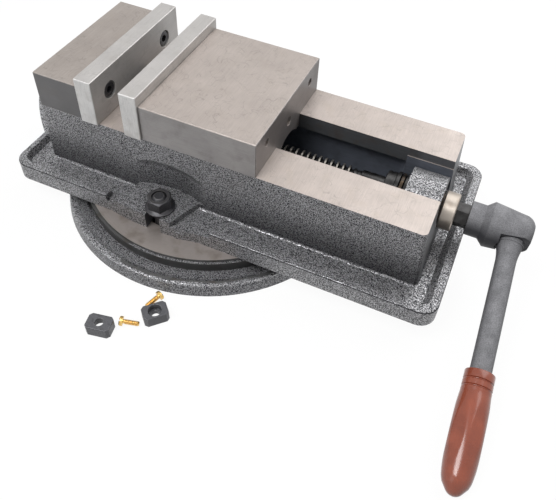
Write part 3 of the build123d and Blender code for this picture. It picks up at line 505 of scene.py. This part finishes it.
tumbled_black = blackened_finish("tumbled_black", key_black, key_rubbed, 3 * mm, 0.2, 0.7, 0.05)
softened("table_keys", "base", [tumbled_black], key_edge, segments=3)

# Key screws
# Two small slotted screws of yellow brass that hold the keys, lying loose on the bench. Their
# threads are rolled and their heads are turned, with a slot sawn across.

brass_yellow = (0.80, 0.55, 0.20, 1)
brass_dark = (0.36, 0.22, 0.07, 1)
key_screw_crest = 2.0 * mm
key_screw_root = 1.62 * mm
key_screw_pitch = 0.7 * mm
key_screw_head = 3.7 * mm
key_screw_head_height = 2.8 * mm
key_screw_length = 12.0 * mm
key_screw_slot = 1.1 * mm
key_screw_slot_depth = 1.3 * mm
far_screw = {"right": 10.0 * mm, "front": 163.5 * mm, "heading": 19, "roll": 25}
near_screw = {"right": 21.8 * mm, "front": 133.2 * mm, "heading": -111, "roll": 70}
thread_shape = (0, 1, 1, 0)     # root, crest, crest, root, at quarters of the pitch


def ring_of(form, along, radius, sides, flat=None):
    """A ring of points round Z. With flat, the ring is cut to a hexagon that far from its middle."""
    points = []
    for step in range(sides):
        angle = 2 * pi * step / sides
        reach = radius
        if flat:
            reach = min(radius, flat / cos((angle + pi / 6) % (pi / 3) - pi / 6))
        points.append(form.verts.new((reach * cos(angle), reach * sin(angle), along)))
    return points


def join_rings(form, low, high):
    """A band of faces between two rings."""
    for step in range(len(low)):
        after = (step + 1) % len(low)
        form.faces.new((low[step], low[after], high[after], high[step]))


def add_thread(form, low_ring, high_ring, start, end, pitch, root, crest):
    """A screw thread between two rings: rows of points that climb one pitch a turn."""
    sides = len(low_ring)
    phases = len(thread_shape)
    rows = int((abs(end - start) / pitch - 1) * phases)
    rows_in_all = rows + phases
    start_row = start + (abs(end - start) - rows_in_all / phases * pitch) / 2

    def point(row, step):
        along = start_row + pitch * (row / phases + step / sides)
        fade = max(0.0, min(1.0, (along - start) / pitch, (end - along) / pitch))
        reach = root + (crest - root) * thread_shape[row % phases] * fade
        angle = 2 * pi * step / sides
        return form.verts.new((reach * cos(angle), reach * sin(angle), along))

    grid = [[point(row, step) for step in range(sides if row <= rows else 1)] for row in range(rows_in_all + 1)]

    def at(row, step):
        return grid[row][step] if step < sides else grid[row + phases][0]

    for row in range(rows):
        for step in range(sides):
            form.faces.new((at(row, step), at(row, step + 1), at(row + 1, step + 1), at(row + 1, step)))
    for step in range(sides - 1):
        form.faces.new((low_ring[step], low_ring[step + 1], grid[0][step + 1], grid[0][step]))
        if step:
            form.faces.new((grid[rows][step], grid[rows][step + 1], high_ring[step + 1], high_ring[step]))
    climb = [grid[row][0] for row in range(phases + 1)]
    form.faces.new([low_ring[-1], low_ring[0], *climb, grid[0][-1]])
    form.faces.new((grid[rows][-1], at(rows, sides), high_ring[0], high_ring[-1]))
    drop = [grid[row][0] for row in range(rows + phases, rows, -1)]
    form.faces.new([grid[rows][0], grid[rows][1], high_ring[1], high_ring[0], *drop])


def turned_bar(name, body, finish, place, before, thread, after, sides=48, node=None, sharp=30):
    """A turned bar along Z of its place: rings, a screw thread, and more rings, closed at both ends.

    A ring is (how far along, radius) or (how far along, radius, flat); thread is
    (start, end, pitch, root, crest)."""
    form = bmesh.new()
    low = [ring_of(form, ring[0], ring[1], sides, *ring[2:]) for ring in before]
    high = [ring_of(form, ring[0], ring[1], sides, *ring[2:]) for ring in after]
    for first, second in zip(low, low[1:]):
        join_rings(form, first, second)
    add_thread(form, low[-1], high[0], *thread)
    for first, second in zip(high, high[1:]):
        join_rings(form, first, second)
    form.faces.new(reversed(low[0]))
    form.faces.new(high[-1])
    bmesh.ops.recalc_face_normals(form, faces=form.faces)
    for face in form.faces:
        face.smooth = True
    mesh = bpy.data.meshes.new(name)
    form.to_mesh(mesh)
    form.free()
    mesh.transform(place)
    mesh.materials.append(finish)
    mesh.set_sharp_from_angle(angle=radians(sharp))
    piece = bpy.data.objects.new(name, mesh)
    bpy.context.scene.collection.objects.link(piece)
    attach(piece, body)
    if node:
        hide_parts(node)
    return piece


def cut_away(piece, cutter):
    """Takes a closed cutter out of a piece, and the cutter out of the scene."""
    work = piece.modifiers.new("cut", "BOOLEAN")
    work.operation = "DIFFERENCE"
    work.solver = "EXACT"
    work.object = cutter
    bpy.context.view_layer.update()
    shape = bpy.data.meshes.new_from_object(piece.evaluated_get(bpy.context.evaluated_depsgraph_get()))
    piece.modifiers.clear()
    piece.data = shape
    bpy.data.objects.remove(cutter)


def cutting_block(length, width, height, place):
    """A block to cut with, centred on its place."""
    form = bmesh.new()
    bmesh.ops.create_cube(form, size=1.0, matrix=place @ Matrix.Diagonal((length, width, height, 1)))
    mesh = bpy.data.meshes.new("cutting_block")
    form.to_mesh(mesh)
    form.free()
    cutter = bpy.data.objects.new("cutting_block", mesh)
    bpy.context.scene.collection.objects.link(cutter)
    return cutter


def lying_place(right, front, heading, roll):
    """The place of a screw that lies on the bench on its head's rim and the end of its shank."""
    tilt = math.atan2(key_screw_head - key_screw_crest, key_screw_length)
    return (Matrix.Translation((right, -front, key_screw_head * cos(tilt)))
            @ Matrix.Rotation(radians(heading), 4, "Z") @ Matrix.Rotation(tilt, 4, "Y")
            @ Matrix.Rotation(radians(roll), 4, "X") @ Matrix.Rotation(pi / 2, 4, "Y"))


def brass_finish():
    """Bright turned brass, a little tarnished in patches."""
    made, tree, shader, place = new_finish("yellow_brass", 1.0)
    tarnish = grade(tree, noise(tree, place, 1.5 * mm, 4.0), 0.45, 0.75, 0.0, 0.8)
    feed(tree, shader.inputs["Base Color"], blended(tree, tarnish, brass_yellow, brass_dark))
    feed(tree, shader.inputs["Roughness"], grade(tree, tarnish, 0.0, 0.8, 0.16, 0.4))
    raise_from(tree, shader, noise(tree, place, 0.3 * mm, 2.0), 0.01 * mm)
    return made


brass = brass_finish()
head_edge = key_screw_head_height / 3
for name, lie in (("far_key_screw", far_screw), ("near_key_screw", near_screw)):
    place = lying_place(**lie)
    top = -key_screw_head_height
    head = [(top, key_screw_head - head_edge)]
    head += [(top + head_edge * (1 - cos(turn)), key_screw_head - head_edge * (1 - sin(turn)))
             for turn in (pi / 8, pi / 4, pi * 3 / 8, pi / 2)]
    head += [(0, key_screw_head), (0, key_screw_root), (0.9 * mm, key_screw_root)]
    tip = [(key_screw_length - 0.3 * mm, key_screw_root), (key_screw_length, key_screw_root - 0.3 * mm)]
    screw = turned_bar(name, "base", brass, place, head,
                       (0.9 * mm, key_screw_length - 0.3 * mm, key_screw_pitch, key_screw_root, key_screw_crest), tip,
                       sides=32, node="key_screws")
    slot_place = place @ Matrix.Translation((0, 0, top))
    cut_away(screw, cutting_block(3 * key_screw_head, key_screw_slot, 2 * key_screw_slot_depth, slot_place))

# Clamp bolts
# Two M12 bolts with square heads that run in the base's round T-slot and clamp the body down. They
# are blackened steel, and their rolled threads end in a wide chamfer above the nuts.

oxide_black = (0.034, 0.034, 0.041, 1)
oxide_rubbed = (0.16, 0.155, 0.15, 1)
black_steel = blackened_finish("black_steel", oxide_black, oxide_rubbed, 5 * mm, 0.6, 0.8)
softened("t_bolts", "vise", [black_steel], 0.35 * mm)

# Vise body
# One grey iron casting: flange with its coolant gutter, clamp pads, leaning walls, ways and screw
# boss. It is hammertone-painted, with painted shade darkening the foot of its walls and the whole
# of the walls that face the crank; the bed, the ways' inner faces, the pads' slots and the underside
# are machined, and the channel is oily.

bed = 85.6 * mm
screw_height = 56.9 * mm
body_right = 196.6 * mm
boss_left = 169.0 * mm
boss_radius = 24.6 * mm
way_underside = 72.0 * mm
channel_left = -70.0 * mm
channel_half = 30.0 * mm
channel_floor = 35.0 * mm
gutter_floor = 30.4 * mm
rim_top = 36.0 * mm
rim_round = 1.3 * mm
wall_left = -122.3 * mm
wall_long = 320.0 * mm
wall_half = 56.2 * mm
wall_clear = 9.0 * mm           # further from the walls than this is the rim
wall_middle = 44.0 * mm         # only the walls' faces have their middles above this
# painted shade: how high the darkening at the foot of the walls reaches
foot_shade_height = 62.0 * mm
end_shade_height = 110.0 * mm   # on walls facing the crank, under the screw, the painted shade goes all the way up
slot_half = 23.3 * mm
boss_slot_half = 22.5 * mm
bolt_x = -7.6 * mm
bolt_y = 76.222 * mm
bolt_slot_half = 6.5 * mm
bed_tone = (0.56, 0.49, 0.45, 1)
bed_stain = (0.42, 0.35, 0.28, 1)
oily_tone = (0.15, 0.165, 0.20, 1)
milled_tone = (0.13, 0.135, 0.145, 1)
milled_stain = (0.10, 0.06, 0.035, 1)

ground_bed = machined_finish("ground_bed", bed_tone, bed_stain, straight_path(0.35 * mm, 12 * mm, 1), 0.25, 0.8)
oily_iron = machined_finish("oily_iron", oily_tone, (0.03, 0.03, 0.035, 1), straight_path(2 * mm, 9 * mm, 0), 0.3, 0.0, 0.1)
foot_shaded_paint = paint_finish("foot_shaded_hammertone", paint_flake_size, paint_vein, paint_flake, (gutter_floor, foot_shade_height))
end_shaded_hammertone = paint_finish("end_shaded_hammertone", paint_flake_size, paint_vein, paint_flake, (gutter_floor, end_shade_height))
milled_ways = machined_finish("milled_ways", milled_tone, milled_stain, straight_path(0.5 * mm, 20 * mm, 0), 0.4, 0.2)


def body_face(centre, normal):
    """Which finish a face of the body has: 0 paint, 1 ground, 2 milled, 3 oily, 4 or 5 paint with painted shade at the
    foot of the walls, reaching higher on 5.
    """
    inside_channel = channel_left - mm < centre.x < boss_left + mm and abs(centre.y) < channel_half + mm
    if inside_channel and channel_floor - mm < centre.z < way_underside + mm / 5:
        return 3
    from_screw = Vector((centre.y, centre.z - screw_height)).length
    if normal.z > 0.9 and centre.z > bed - mm / 5:
        return 1
    between_ways = abs(centre.y) < slot_half + mm / 5 and centre.z > screw_height
    if between_ways and abs(normal.y) > 0.9 and from_screw > boss_radius:
        return 2
    bolt_slot = abs(centre.x - bolt_x) < bolt_slot_half + mm / 5 and abs(centre.y) > bolt_y - bolt_slot_half - mm / 5
    if bolt_slot and abs(normal.z) < 0.5 and abs(normal.y) < 0.99:
        return 2
    if abs(normal.y) > 0.9 and abs(abs(centre.y) - boss_slot_half) < mm / 5:
        return 3
    if normal.z > 0.9 and boss_slot_half < abs(centre.y) < slot_half and centre.z > screw_height:
        return 1
    boss_end = normal.x > 0.9 and centre.x > body_right - mm / 5 and from_screw < boss_radius + mm
    underneath = normal.z < -0.9 and centre.z < base_height + mm / 5
    if boss_end or underneath:
        return 2
    if centre.z < wall_middle or normal.z > 0.5:
        return 0
    # painted shade: walls facing the crank take the paint that darkens all the way up
    return 5 if normal.x > 0.5 else 4




def body_rim_shade(centre, normal, rounded):
    """Painted shade: dark lines along the outer edge of the rim, and where the rim's inner wall meets the gutter."""
    outward = normal.x * (centre.x - body_right / 2) + normal.y * centre.y > 0
    past_walls = abs(centre.y) > wall_half + wall_clear or not -wall_clear < centre.x - wall_left < wall_long + wall_clear
    if abs(centre.z - rim_top) < rim_round and 0.1 < normal.z < 0.8 and outward:
        return past_walls
    return rounded and abs(centre.z - gutter_floor) < mm and past_walls


softened("vise_body", "vise", [grey_paint, ground_bed, milled_ways, oily_iron, foot_shaded_paint, end_shaded_hammertone], cast_edge, body_face,
         shaded=body_rim_shade)

# Clamp nuts
# Hexagon nuts forged in one with a coned flange, blackened and oiled, one on each clamp pad. Their
# tops carry the rings of the facing tool.

nut_ring_pitch = 0.45 * mm


def nut_finish(name, y):
    """Black oxide with fine facing rings round the bolt."""
    made, tree, shader, place = new_finish(name, 0.7)
    edge = calc(tree, "MULTIPLY", use(tree, edge_wear_and_shade, Place=place, Patch_Size=3 * mm)["Mask"], 0.9)
    coat = use(tree, blackening, Place=place, Patch_Size=5 * mm, Black=oxide_black, Rubbed=oxide_rubbed, Edge=edge)
    path = use(tree, lathe_path, Place=place, Centre=(bolt_x, y, 0), Across=(1, 1, 0), Pitch=nut_ring_pitch)["Tool Path"]
    rings = add(tree, "TexNoise", Vector=path, Scale=1.0, Detail=1.0).outputs[0]
    upward = add(tree, "SeparateXYZ", Vector=add(tree, "NewGeometry").outputs["Normal"]).outputs[2]
    facing = calc(tree, "MULTIPLY", grade(tree, rings, 0.35, 0.65), grade(tree, upward, 0.9, 0.95))
    feed(tree, shader.inputs["Base Color"], blended(tree, calc(tree, "MULTIPLY", facing, 0.5), coat["Color"], oxide_rubbed))
    feed(tree, shader.inputs["Roughness"], coat["Roughness"])
    raise_from(tree, shader, facing, 0.02 * mm)
    return made


softened("front_clamp_nut", "front_nut", [nut_finish("front_nut_black", -bolt_y)], 0.3 * mm)
softened("back_clamp_nut", "back_nut", [nut_finish("back_nut_black", bolt_y)], 0.3 * mm)

# Fixed jaw
# A hardened steel block keyed and bolted to the left end of the bed, surface-ground on its top and
# ends. Its key lies hidden under it, and its two bolts come up from below.

jaw_edge = 0.35 * mm
jaw_tone = (0.39, 0.345, 0.315, 1)
jaw_stain = (0.33, 0.28, 0.24, 1)
side_tone = (0.155, 0.152, 0.155, 1)
side_stain = (0.13, 0.12, 0.11, 1)
ground_jaw = machined_finish("ground_jaw", jaw_tone, jaw_stain, straight_path(0.3 * mm, 14 * mm, 1), 0.2, 1.0)
milled_side = machined_finish("milled_side", side_tone, side_stain, straight_path(0.4 * mm, 16 * mm, 0), 0.4, 0.4, 0.15)


def ground_on_top(centre, normal):
    """Which finish a face of the fixed jaw has: 0 ground, on the top and underneath, or 1 milled."""
    return 0 if abs(normal.z) > 0.5 else 1


for node in ("fixed_jaw", "fixed_jaw_key"):
    softened(node, "vise", [ground_jaw, milled_side], jaw_edge, ground_on_top)
softened("fixed_jaw_bolts", "vise", [black_steel], jaw_edge)

# Jaw plates
# Hardened and ground plates that take the work, a little wider and higher than the jaws. The lay of
# the grinding runs along them, and the cap screws in their counterbores are blackened.

plate_tone = (0.54, 0.52, 0.505, 1)
plate_end_tone = (0.80, 0.79, 0.78, 1)
plate_stain = (0.32, 0.29, 0.26, 1)
ground_plate = machined_finish("ground_plate", plate_tone, plate_stain, straight_path(0.3 * mm, 20 * mm, 1), 0.2, 0.6, 0.35)
plate_end = machined_finish("plate_end", plate_end_tone, plate_stain, straight_path(0.4 * mm, 9 * mm, 2), 0.4, 0.4, 0.35)


def plate_face(centre, normal):
    """Which finish a face of a plate has: 0 ground, or 1 on its two ends."""
    return 1 if abs(normal.y) > 0.5 else 0


softened("fixed_jaw_plate", "vise", [ground_plate, plate_end], jaw_edge, plate_face)
softened("movable_jaw_plate", "jaw", [ground_plate, plate_end], jaw_edge, plate_face)
softened("fixed_plate_screws", "vise", [black_steel], 0.25 * mm)
softened("movable_plate_screws", "jaw", [black_steel], 0.25 * mm)

# Screw bush and thrust bearing
# A bronze bush lines the boss, and a caged ball bearing in front of it takes the screw's push. All
# of it is dark: old grease, and painted shade where the boss shades it.

greasy_and_shaded_bronze_tone = (0.07, 0.045, 0.025, 1)
grease_black = (0.012, 0.011, 0.011, 1)
race_tone = (0.035, 0.034, 0.034, 1)


def along_screw(pitch):
    """A lathe's tool path round the screw's axis."""
    return round_path((0, 0, screw_height), (0, 1, 1), pitch)


def greasy_finish(name, metal, metallic, smear, rubbed=None):
    """Turned metal under a film of dark grease, thicker in smears; rubbed gives a mask and a pale tone for bare metal,
    which stands partly for a painted highlight.
    """
    made, tree, shader, place = new_finish(name, metallic, Coat_Weight=0.1)
    cut = use(tree, machined_metal, Place=place, Tool_Path=along_screw(0.4 * mm)(tree, place), Metal=metal,
              Stain=grease_black, Staining=1.0, Scratching=0.0)
    film = grade(tree, noise(tree, place, 5 * mm, 4.0), 0.35, 0.6, 0.0, smear)
    tone = blended(tree, film, cut["Color"], grease_black)
    if rubbed:
        mask, bare = rubbed
        tone = blended(tree, mask(tree, place), tone, bare)
    feed(tree, shader.inputs["Base Color"], tone)
    feed(tree, shader.inputs["Roughness"], grade(tree, film, 0.0, 1.0, 0.35, 0.22))
    raise_from(tree, shader, cut["Height"], 0.02 * mm)
    return made


# grease and painted shade: the bush, cage and races are coloured near black where the boss shades them
greasy_and_shaded_bronze = greasy_finish("greasy_and_shaded_bronze", greasy_and_shaded_bronze_tone, 0.8, 0.8)
greasy_and_shaded_race = greasy_finish("greasy_and_shaded_race", race_tone, 0.7, 0.7)
softened("screw_bush", "vise", [greasy_and_shaded_bronze], 0.2 * mm)
softened("thrust_race_fixed", "vise", [greasy_and_shaded_race], 0.2 * mm)
softened("thrust_race_turning", "screw", [greasy_and_shaded_race], 0.2 * mm)
softened("thrust_cage", "bearing_cage", [greasy_and_shaded_bronze], 0.15 * mm)
softened("bearing_balls", "bearing_cage", [greasy_and_shaded_race], 0.05 * mm, sharp=60)

# Screw
# A long screw with a single-start trapezoidal thread, turned from one bar: thread, undercut, thrust
# shoulder, journal, and the hexagon that the crank fits. The thread is black with grease.

screw_left = -60.0 * mm
thread_right = 128.4 * mm
undercut_right = 131.4 * mm
shoulder_left = 151.0 * mm
shoulder_right = 159.0 * mm
journal_right = 209.0 * mm
hexagon_right = 239.5 * mm
screw_crest = 10.0 * mm
screw_root = 7.6 * mm
screw_pitch = 5.0 * mm
undercut_radius = 8.5 * mm
shoulder_radius = 16.0 * mm
hexagon_flat = 8.5 * mm
screw_tone = (0.045, 0.044, 0.044, 1)
crest_rub_and_glint_tone = (0.28, 0.26, 0.235, 1)

screw_line = Matrix.Translation((0, 0, screw_height)) @ Matrix.Rotation(pi / 2, 4, "Y")
greasy_steel = greasy_finish("greasy_steel", screw_tone, 0.75, 0.75)


def crest_rub_and_glint(tree, place):
    """1 on the thread's crests, which the nut rubs bright; their pale tone is partly a painted highlight for the
    crests' glints.
    """
    along, across, height = add(tree, "SeparateXYZ", Vector=place).outputs
    over = calc(tree, "SUBTRACT", height, screw_height)
    reach = calc(tree, "SQRT", calc(tree, "ADD", calc(tree, "MULTIPLY", across, across), calc(tree, "MULTIPLY", over, over)))
    threaded = grade(tree, along, thread_right - mm, thread_right, 1.0, 0.0)
    return calc(tree, "MULTIPLY", grade(tree, reach, screw_crest - 0.5 * mm, screw_crest - 0.1 * mm), threaded)


# wear and painted highlight: the crests get a pale tone
greasy_screw = greasy_finish("greasy_screw", screw_tone, 0.75, 0.75, (crest_rub_and_glint, crest_rub_and_glint_tone))
edge = 0.5 * mm
chamfer = 1.2 * mm
turned_bar(
    "lead_screw_turned", "screw", greasy_screw, screw_line,
    [(screw_left, screw_root - chamfer), (screw_left + chamfer, screw_root)],
    (screw_left + chamfer, thread_right, screw_pitch, screw_root, screw_crest),
    [(thread_right, screw_root), (thread_right, undercut_radius), (undercut_right, undercut_radius),
     (undercut_right, screw_crest - edge), (undercut_right + edge, screw_crest), (shoulder_left, screw_crest),
     (shoulder_left, shoulder_radius - edge), (shoulder_left + edge, shoulder_radius),
     (shoulder_right - edge, shoulder_radius), (shoulder_right, shoulder_radius - edge), (shoulder_right, screw_crest),
     (journal_right - edge, screw_crest), (journal_right, screw_crest - edge),
     (journal_right, screw_crest - edge, hexagon_flat), (hexagon_right - chamfer, screw_crest, hexagon_flat),
     (hexagon_right - chamfer / 2, screw_crest - chamfer / 2, hexagon_flat),
     (hexagon_right, screw_crest - chamfer, hexagon_flat)],
    sides=72, node="lead_screw")

# Retaining collar
# A turned steel ring on the journal outside the boss, held by a set screw from behind, so that the
# screw can't be drawn in. It is polished bright.

collar_tone = (0.46, 0.41, 0.36, 1)
turned_collar = machined_finish("turned_collar", collar_tone, steel_brown, along_screw(0.35 * mm), 0.5, 0.2, 0.85)
softened("retaining_collar", "screw", [turned_collar], 0.3 * mm)
softened("collar_set_screw", "screw", [black_steel], 0.15 * mm)

# Movable jaw
# The ground block that slides on the bed. Its steel nut reaches up into it and pulls a half ball
# forwards and down, so that the jaw can't lift; a set screw behind keeps the nut up to the ball.

block_tone = (0.49, 0.43, 0.395, 1)
block_side_tone = (0.40, 0.38, 0.375, 1)
# painted shade: the face towards the crank gets a darker copy of the sides' milled tone
shaded_back_tone = (0.21, 0.19, 0.185, 1)
ground_block = machined_finish("ground_block", block_tone, jaw_stain, straight_path(0.3 * mm, 14 * mm, 1), 0.2, 1.0)
block_side = machined_finish("block_side", block_side_tone, side_stain, straight_path(0.4 * mm, 16 * mm, 0), 0.3, 0.4, 0.15)
shaded_block_back = machined_finish("shaded_block_back", shaded_back_tone, side_stain, straight_path(0.4 * mm, 16 * mm, 1), 0.3, 0.4, 0.15)
ball_tone = (0.45, 0.44, 0.43, 1)
hardened_ball = machined_finish("hardened_ball", ball_tone, steel_brown, straight_path(0.3 * mm, 3 * mm, 1), 0.3, 0.2, 0.9)


def block_face(centre, normal):
    """Which finish a face of the block has: 0 ground, 1 milled, or 2, a darker copy of the milled one that paints shade
    on the face towards the crank.
    """
    return 2 if normal.x > 0.5 else ground_on_top(centre, normal)


softened("movable_jaw", "jaw", [ground_block, block_side, shaded_block_back], jaw_edge, block_face)
softened("angle_lock_nut", "jaw", [greasy_steel], 0.5 * mm)
softened("half_ball", "jaw", [hardened_ball], 0.2 * mm)
softened("lock_set_screw", "jaw", [black_steel], 0.2 * mm)

# Crank hub and rod
# The hub is a steel casting with a hexagon socket, and the forged rod is pressed into a round seat
# in it and pinned. Both are dull grey from the barrel, with painted shade darkening the faces that look down.

hub_tone = (0.32, 0.32, 0.335, 1)
hub_dark = (0.060, 0.060, 0.066, 1)


def dull_finish(name, tone, dark):
    """Dull barrelled steel: fine pits, soft cloudy patches, and painted shade on faces that look down."""
    made, tree, shader, place = new_finish(name, 0.0, Specular_IOR_Level=0.15)
    cloud = grade(tree, noise(tree, place, 9 * mm, 4.0), 0.35, 0.65)
    pits = grade(tree, noise(tree, place, 0.6 * mm, 2.0), 0.35, 0.6)
    edge = use(tree, edge_wear_and_shade, Place=place, Patch_Size=4 * mm)["Mask"]
    upward = add(tree, "SeparateXYZ", Vector=add(tree, "TexCoord").outputs["Normal"]).outputs[2]
    # painted shade on downward faces, mixed with random cloudy patches
    cloud_and_underside_shade = calc(tree, "MAXIMUM", grade(tree, cloud, 0.0, 1.0, 0.0, 0.35), grade(tree, upward, 0.1, 0.8, 1.0, 0.0))
    base = blended(tree, cloud_and_underside_shade, tone, dark)
    base = blended(tree, calc(tree, "MULTIPLY", calc(tree, "SUBTRACT", 1.0, pits), 0.5), base, dark)
    feed(tree, shader.inputs["Base Color"], blended(tree, calc(tree, "MULTIPLY", edge, 0.5), base, (0.4, 0.4, 0.4, 1)))
    feed(tree, shader.inputs["Roughness"], grade(tree, cloud, 0.0, 1.0, 0.42, 0.55))
    raise_from(tree, shader, pits, 0.04 * mm)
    return made


dull_steel = dull_finish("dull_steel", hub_tone, hub_dark)
softened("crank_hub", "crank", [dull_steel], 0.8 * mm, segments=3)
softened("crank_rod", "crank", [dull_steel], 0.4 * mm)
softened("crank_pin", "crank", [turned_pin], 0.2 * mm)

# Crank grip
# A glossy brown moulding on the rod's tang: a grooved ring, then a belly with six long flats that
# fade into a round end.

handle_x = 252.5 * mm
handle_droop = 14.93
handle_cant = 3.2
grip_start = 113.0 * mm
grip_ring_end = 128.0 * mm
grip_end = 193.79 * mm
grip_ring_radius = 10.3 * mm
grip_grooves = (119.5 * mm, 124.5 * mm)
groove_half = 0.8 * mm
groove_depth = 0.9 * mm
grip_profile = ((128.0, 10.3), (140.0, 11.25), (157.0, 11.9), (172.0, 11.1), (183.0, 9.75), (187.5, 8.2))
grip_nose_radius = 6.5 * mm
grip_nose_start = 35.0          # degrees up the nose, where its sphere begins
grip_flat = 11.05 * mm
grip_turn = 7.0
ridge_softness = 0.35 * mm
grip_brown = (0.36, 0.080, 0.036, 1)
grip_dark = (0.20, 0.040, 0.018, 1)


def grip_finish():
    """Glossy brown moulding, a little uneven in colour, with flow lines along it."""
    made, tree, shader, place = new_finish("brown_moulding", 0.0, Coat_Weight=0.35, Coat_Roughness=0.12)
    cloud = grade(tree, noise(tree, place, 14 * mm, 3.0), 0.3, 0.7)
    specks = grade(tree, noise(tree, place, 0.8 * mm, 2.0), 0.3, 0.7)
    tone = blended(tree, cloud, grip_dark, grip_brown)
    tone = blended(tree, 0.8, grip_brown, tone)
    feed(tree, shader.inputs["Base Color"],
         blended(tree, grade(tree, specks, 0.0, 1.0, 0.25, 0.0), tone, grip_dark))
    feed(tree, shader.inputs["Roughness"], grade(tree, cloud, 0.0, 1.0, 0.30, 0.20))
    raise_from(tree, shader, noise(tree, place, 1.6 * mm, 2.0), 0.04 * mm)
    return made


def profile_radius(along):
    """The belly's radius at a point between two named ones, on a smooth curve."""
    points = grip_profile
    for index in range(len(points) - 1):
        if along <= points[index + 1][0]:
            break
    (low, first), (high, last) = points[index], points[index + 1]
    before = points[max(index - 1, 0)]
    after = points[min(index + 2, len(points) - 1)]
    share = (along - low) / (high - low)
    rise_first = (last - before[1]) / (high - before[0]) * (high - low)
    rise_last = (after[1] - first) / (after[0] - low) * (high - low)
    return ((2 * share ** 3 - 3 * share ** 2 + 1) * first + (share ** 3 - 2 * share ** 2 + share) * rise_first
            + (3 * share ** 2 - 2 * share ** 3) * last + (share ** 3 - share ** 2) * rise_last)


def soft_least(first, second, softness):
    """The lesser of two lengths, blended where they are nearly the same."""
    near = max(0.0, softness - abs(first - second)) / softness
    return min(first, second) - near * near * softness / 4


way = Vector((sin(radians(handle_cant)), -cos(radians(handle_cant)) * cos(radians(handle_droop)),
              -cos(radians(handle_cant)) * sin(radians(handle_droop))))
side = (Vector((1, 0, 0)) - way * way.x).normalized()
up = way.cross(side)
handle_line = Matrix.Translation((handle_x, 0, screw_height)) @ Matrix((side, up, way)).transposed().to_4x4()

sides = 96
rings = [(grip_start, 5.2 * mm), (grip_start, grip_ring_radius - 0.7 * mm), (grip_start + 0.2 * mm, grip_ring_radius - 0.2 * mm),
         (grip_start + 0.7 * mm, grip_ring_radius)]
for groove in grip_grooves:
    for step in range(-4, 5):
        share = step / 4
        rings.append((groove + share * groove_half, grip_ring_radius - groove_depth * (1 - share * share)))
rings.append((grip_ring_end - 0.6 * mm, grip_ring_radius))
form = bmesh.new()
bands = [ring_of(form, along, radius, sides) for along, radius in rings]
along = grip_profile[0][0]
while along < grip_profile[-1][0]:
    fade = min(1.0, max(0.0, (along - grip_profile[0][0]) / 2.0))
    band = []
    for step in range(sides):
        angle = 2 * pi * step / sides
        turn = (angle - radians(grip_turn) + pi / 6) % (pi / 3) - pi / 6
        reach = profile_radius(along) * mm
        flat = soft_least(reach, grip_flat / cos(turn), ridge_softness)
        reach += (flat - reach) * fade
        band.append(form.verts.new((reach * cos(angle), reach * sin(angle), along * mm)))
    bands.append(band)
    along += 1.0
nose_centre = grip_end - grip_nose_radius
for step in range(9):
    turn = radians(grip_nose_start + (86 - grip_nose_start) * step / 8)
    bands.append(ring_of(form, nose_centre + grip_nose_radius * sin(turn), grip_nose_radius * cos(turn), sides))
for first, second in zip(bands, bands[1:]):
    join_rings(form, first, second)
form.faces.new(reversed(bands[0]))
form.faces.new(bands[-1])
bmesh.ops.recalc_face_normals(form, faces=form.faces)
for face in form.faces:
    face.smooth = True
grip_mesh = bpy.data.meshes.new("grip_moulding")
form.to_mesh(grip_mesh)
form.free()
grip_mesh.transform(handle_line)
grip_mesh.materials.append(grip_finish())
grip_mesh.set_sharp_from_angle(angle=radians(50))
grip = bpy.data.objects.new("grip_moulding", grip_mesh)
bpy.context.scene.collection.objects.link(grip)
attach(grip, "crank")
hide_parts("crank_grip")
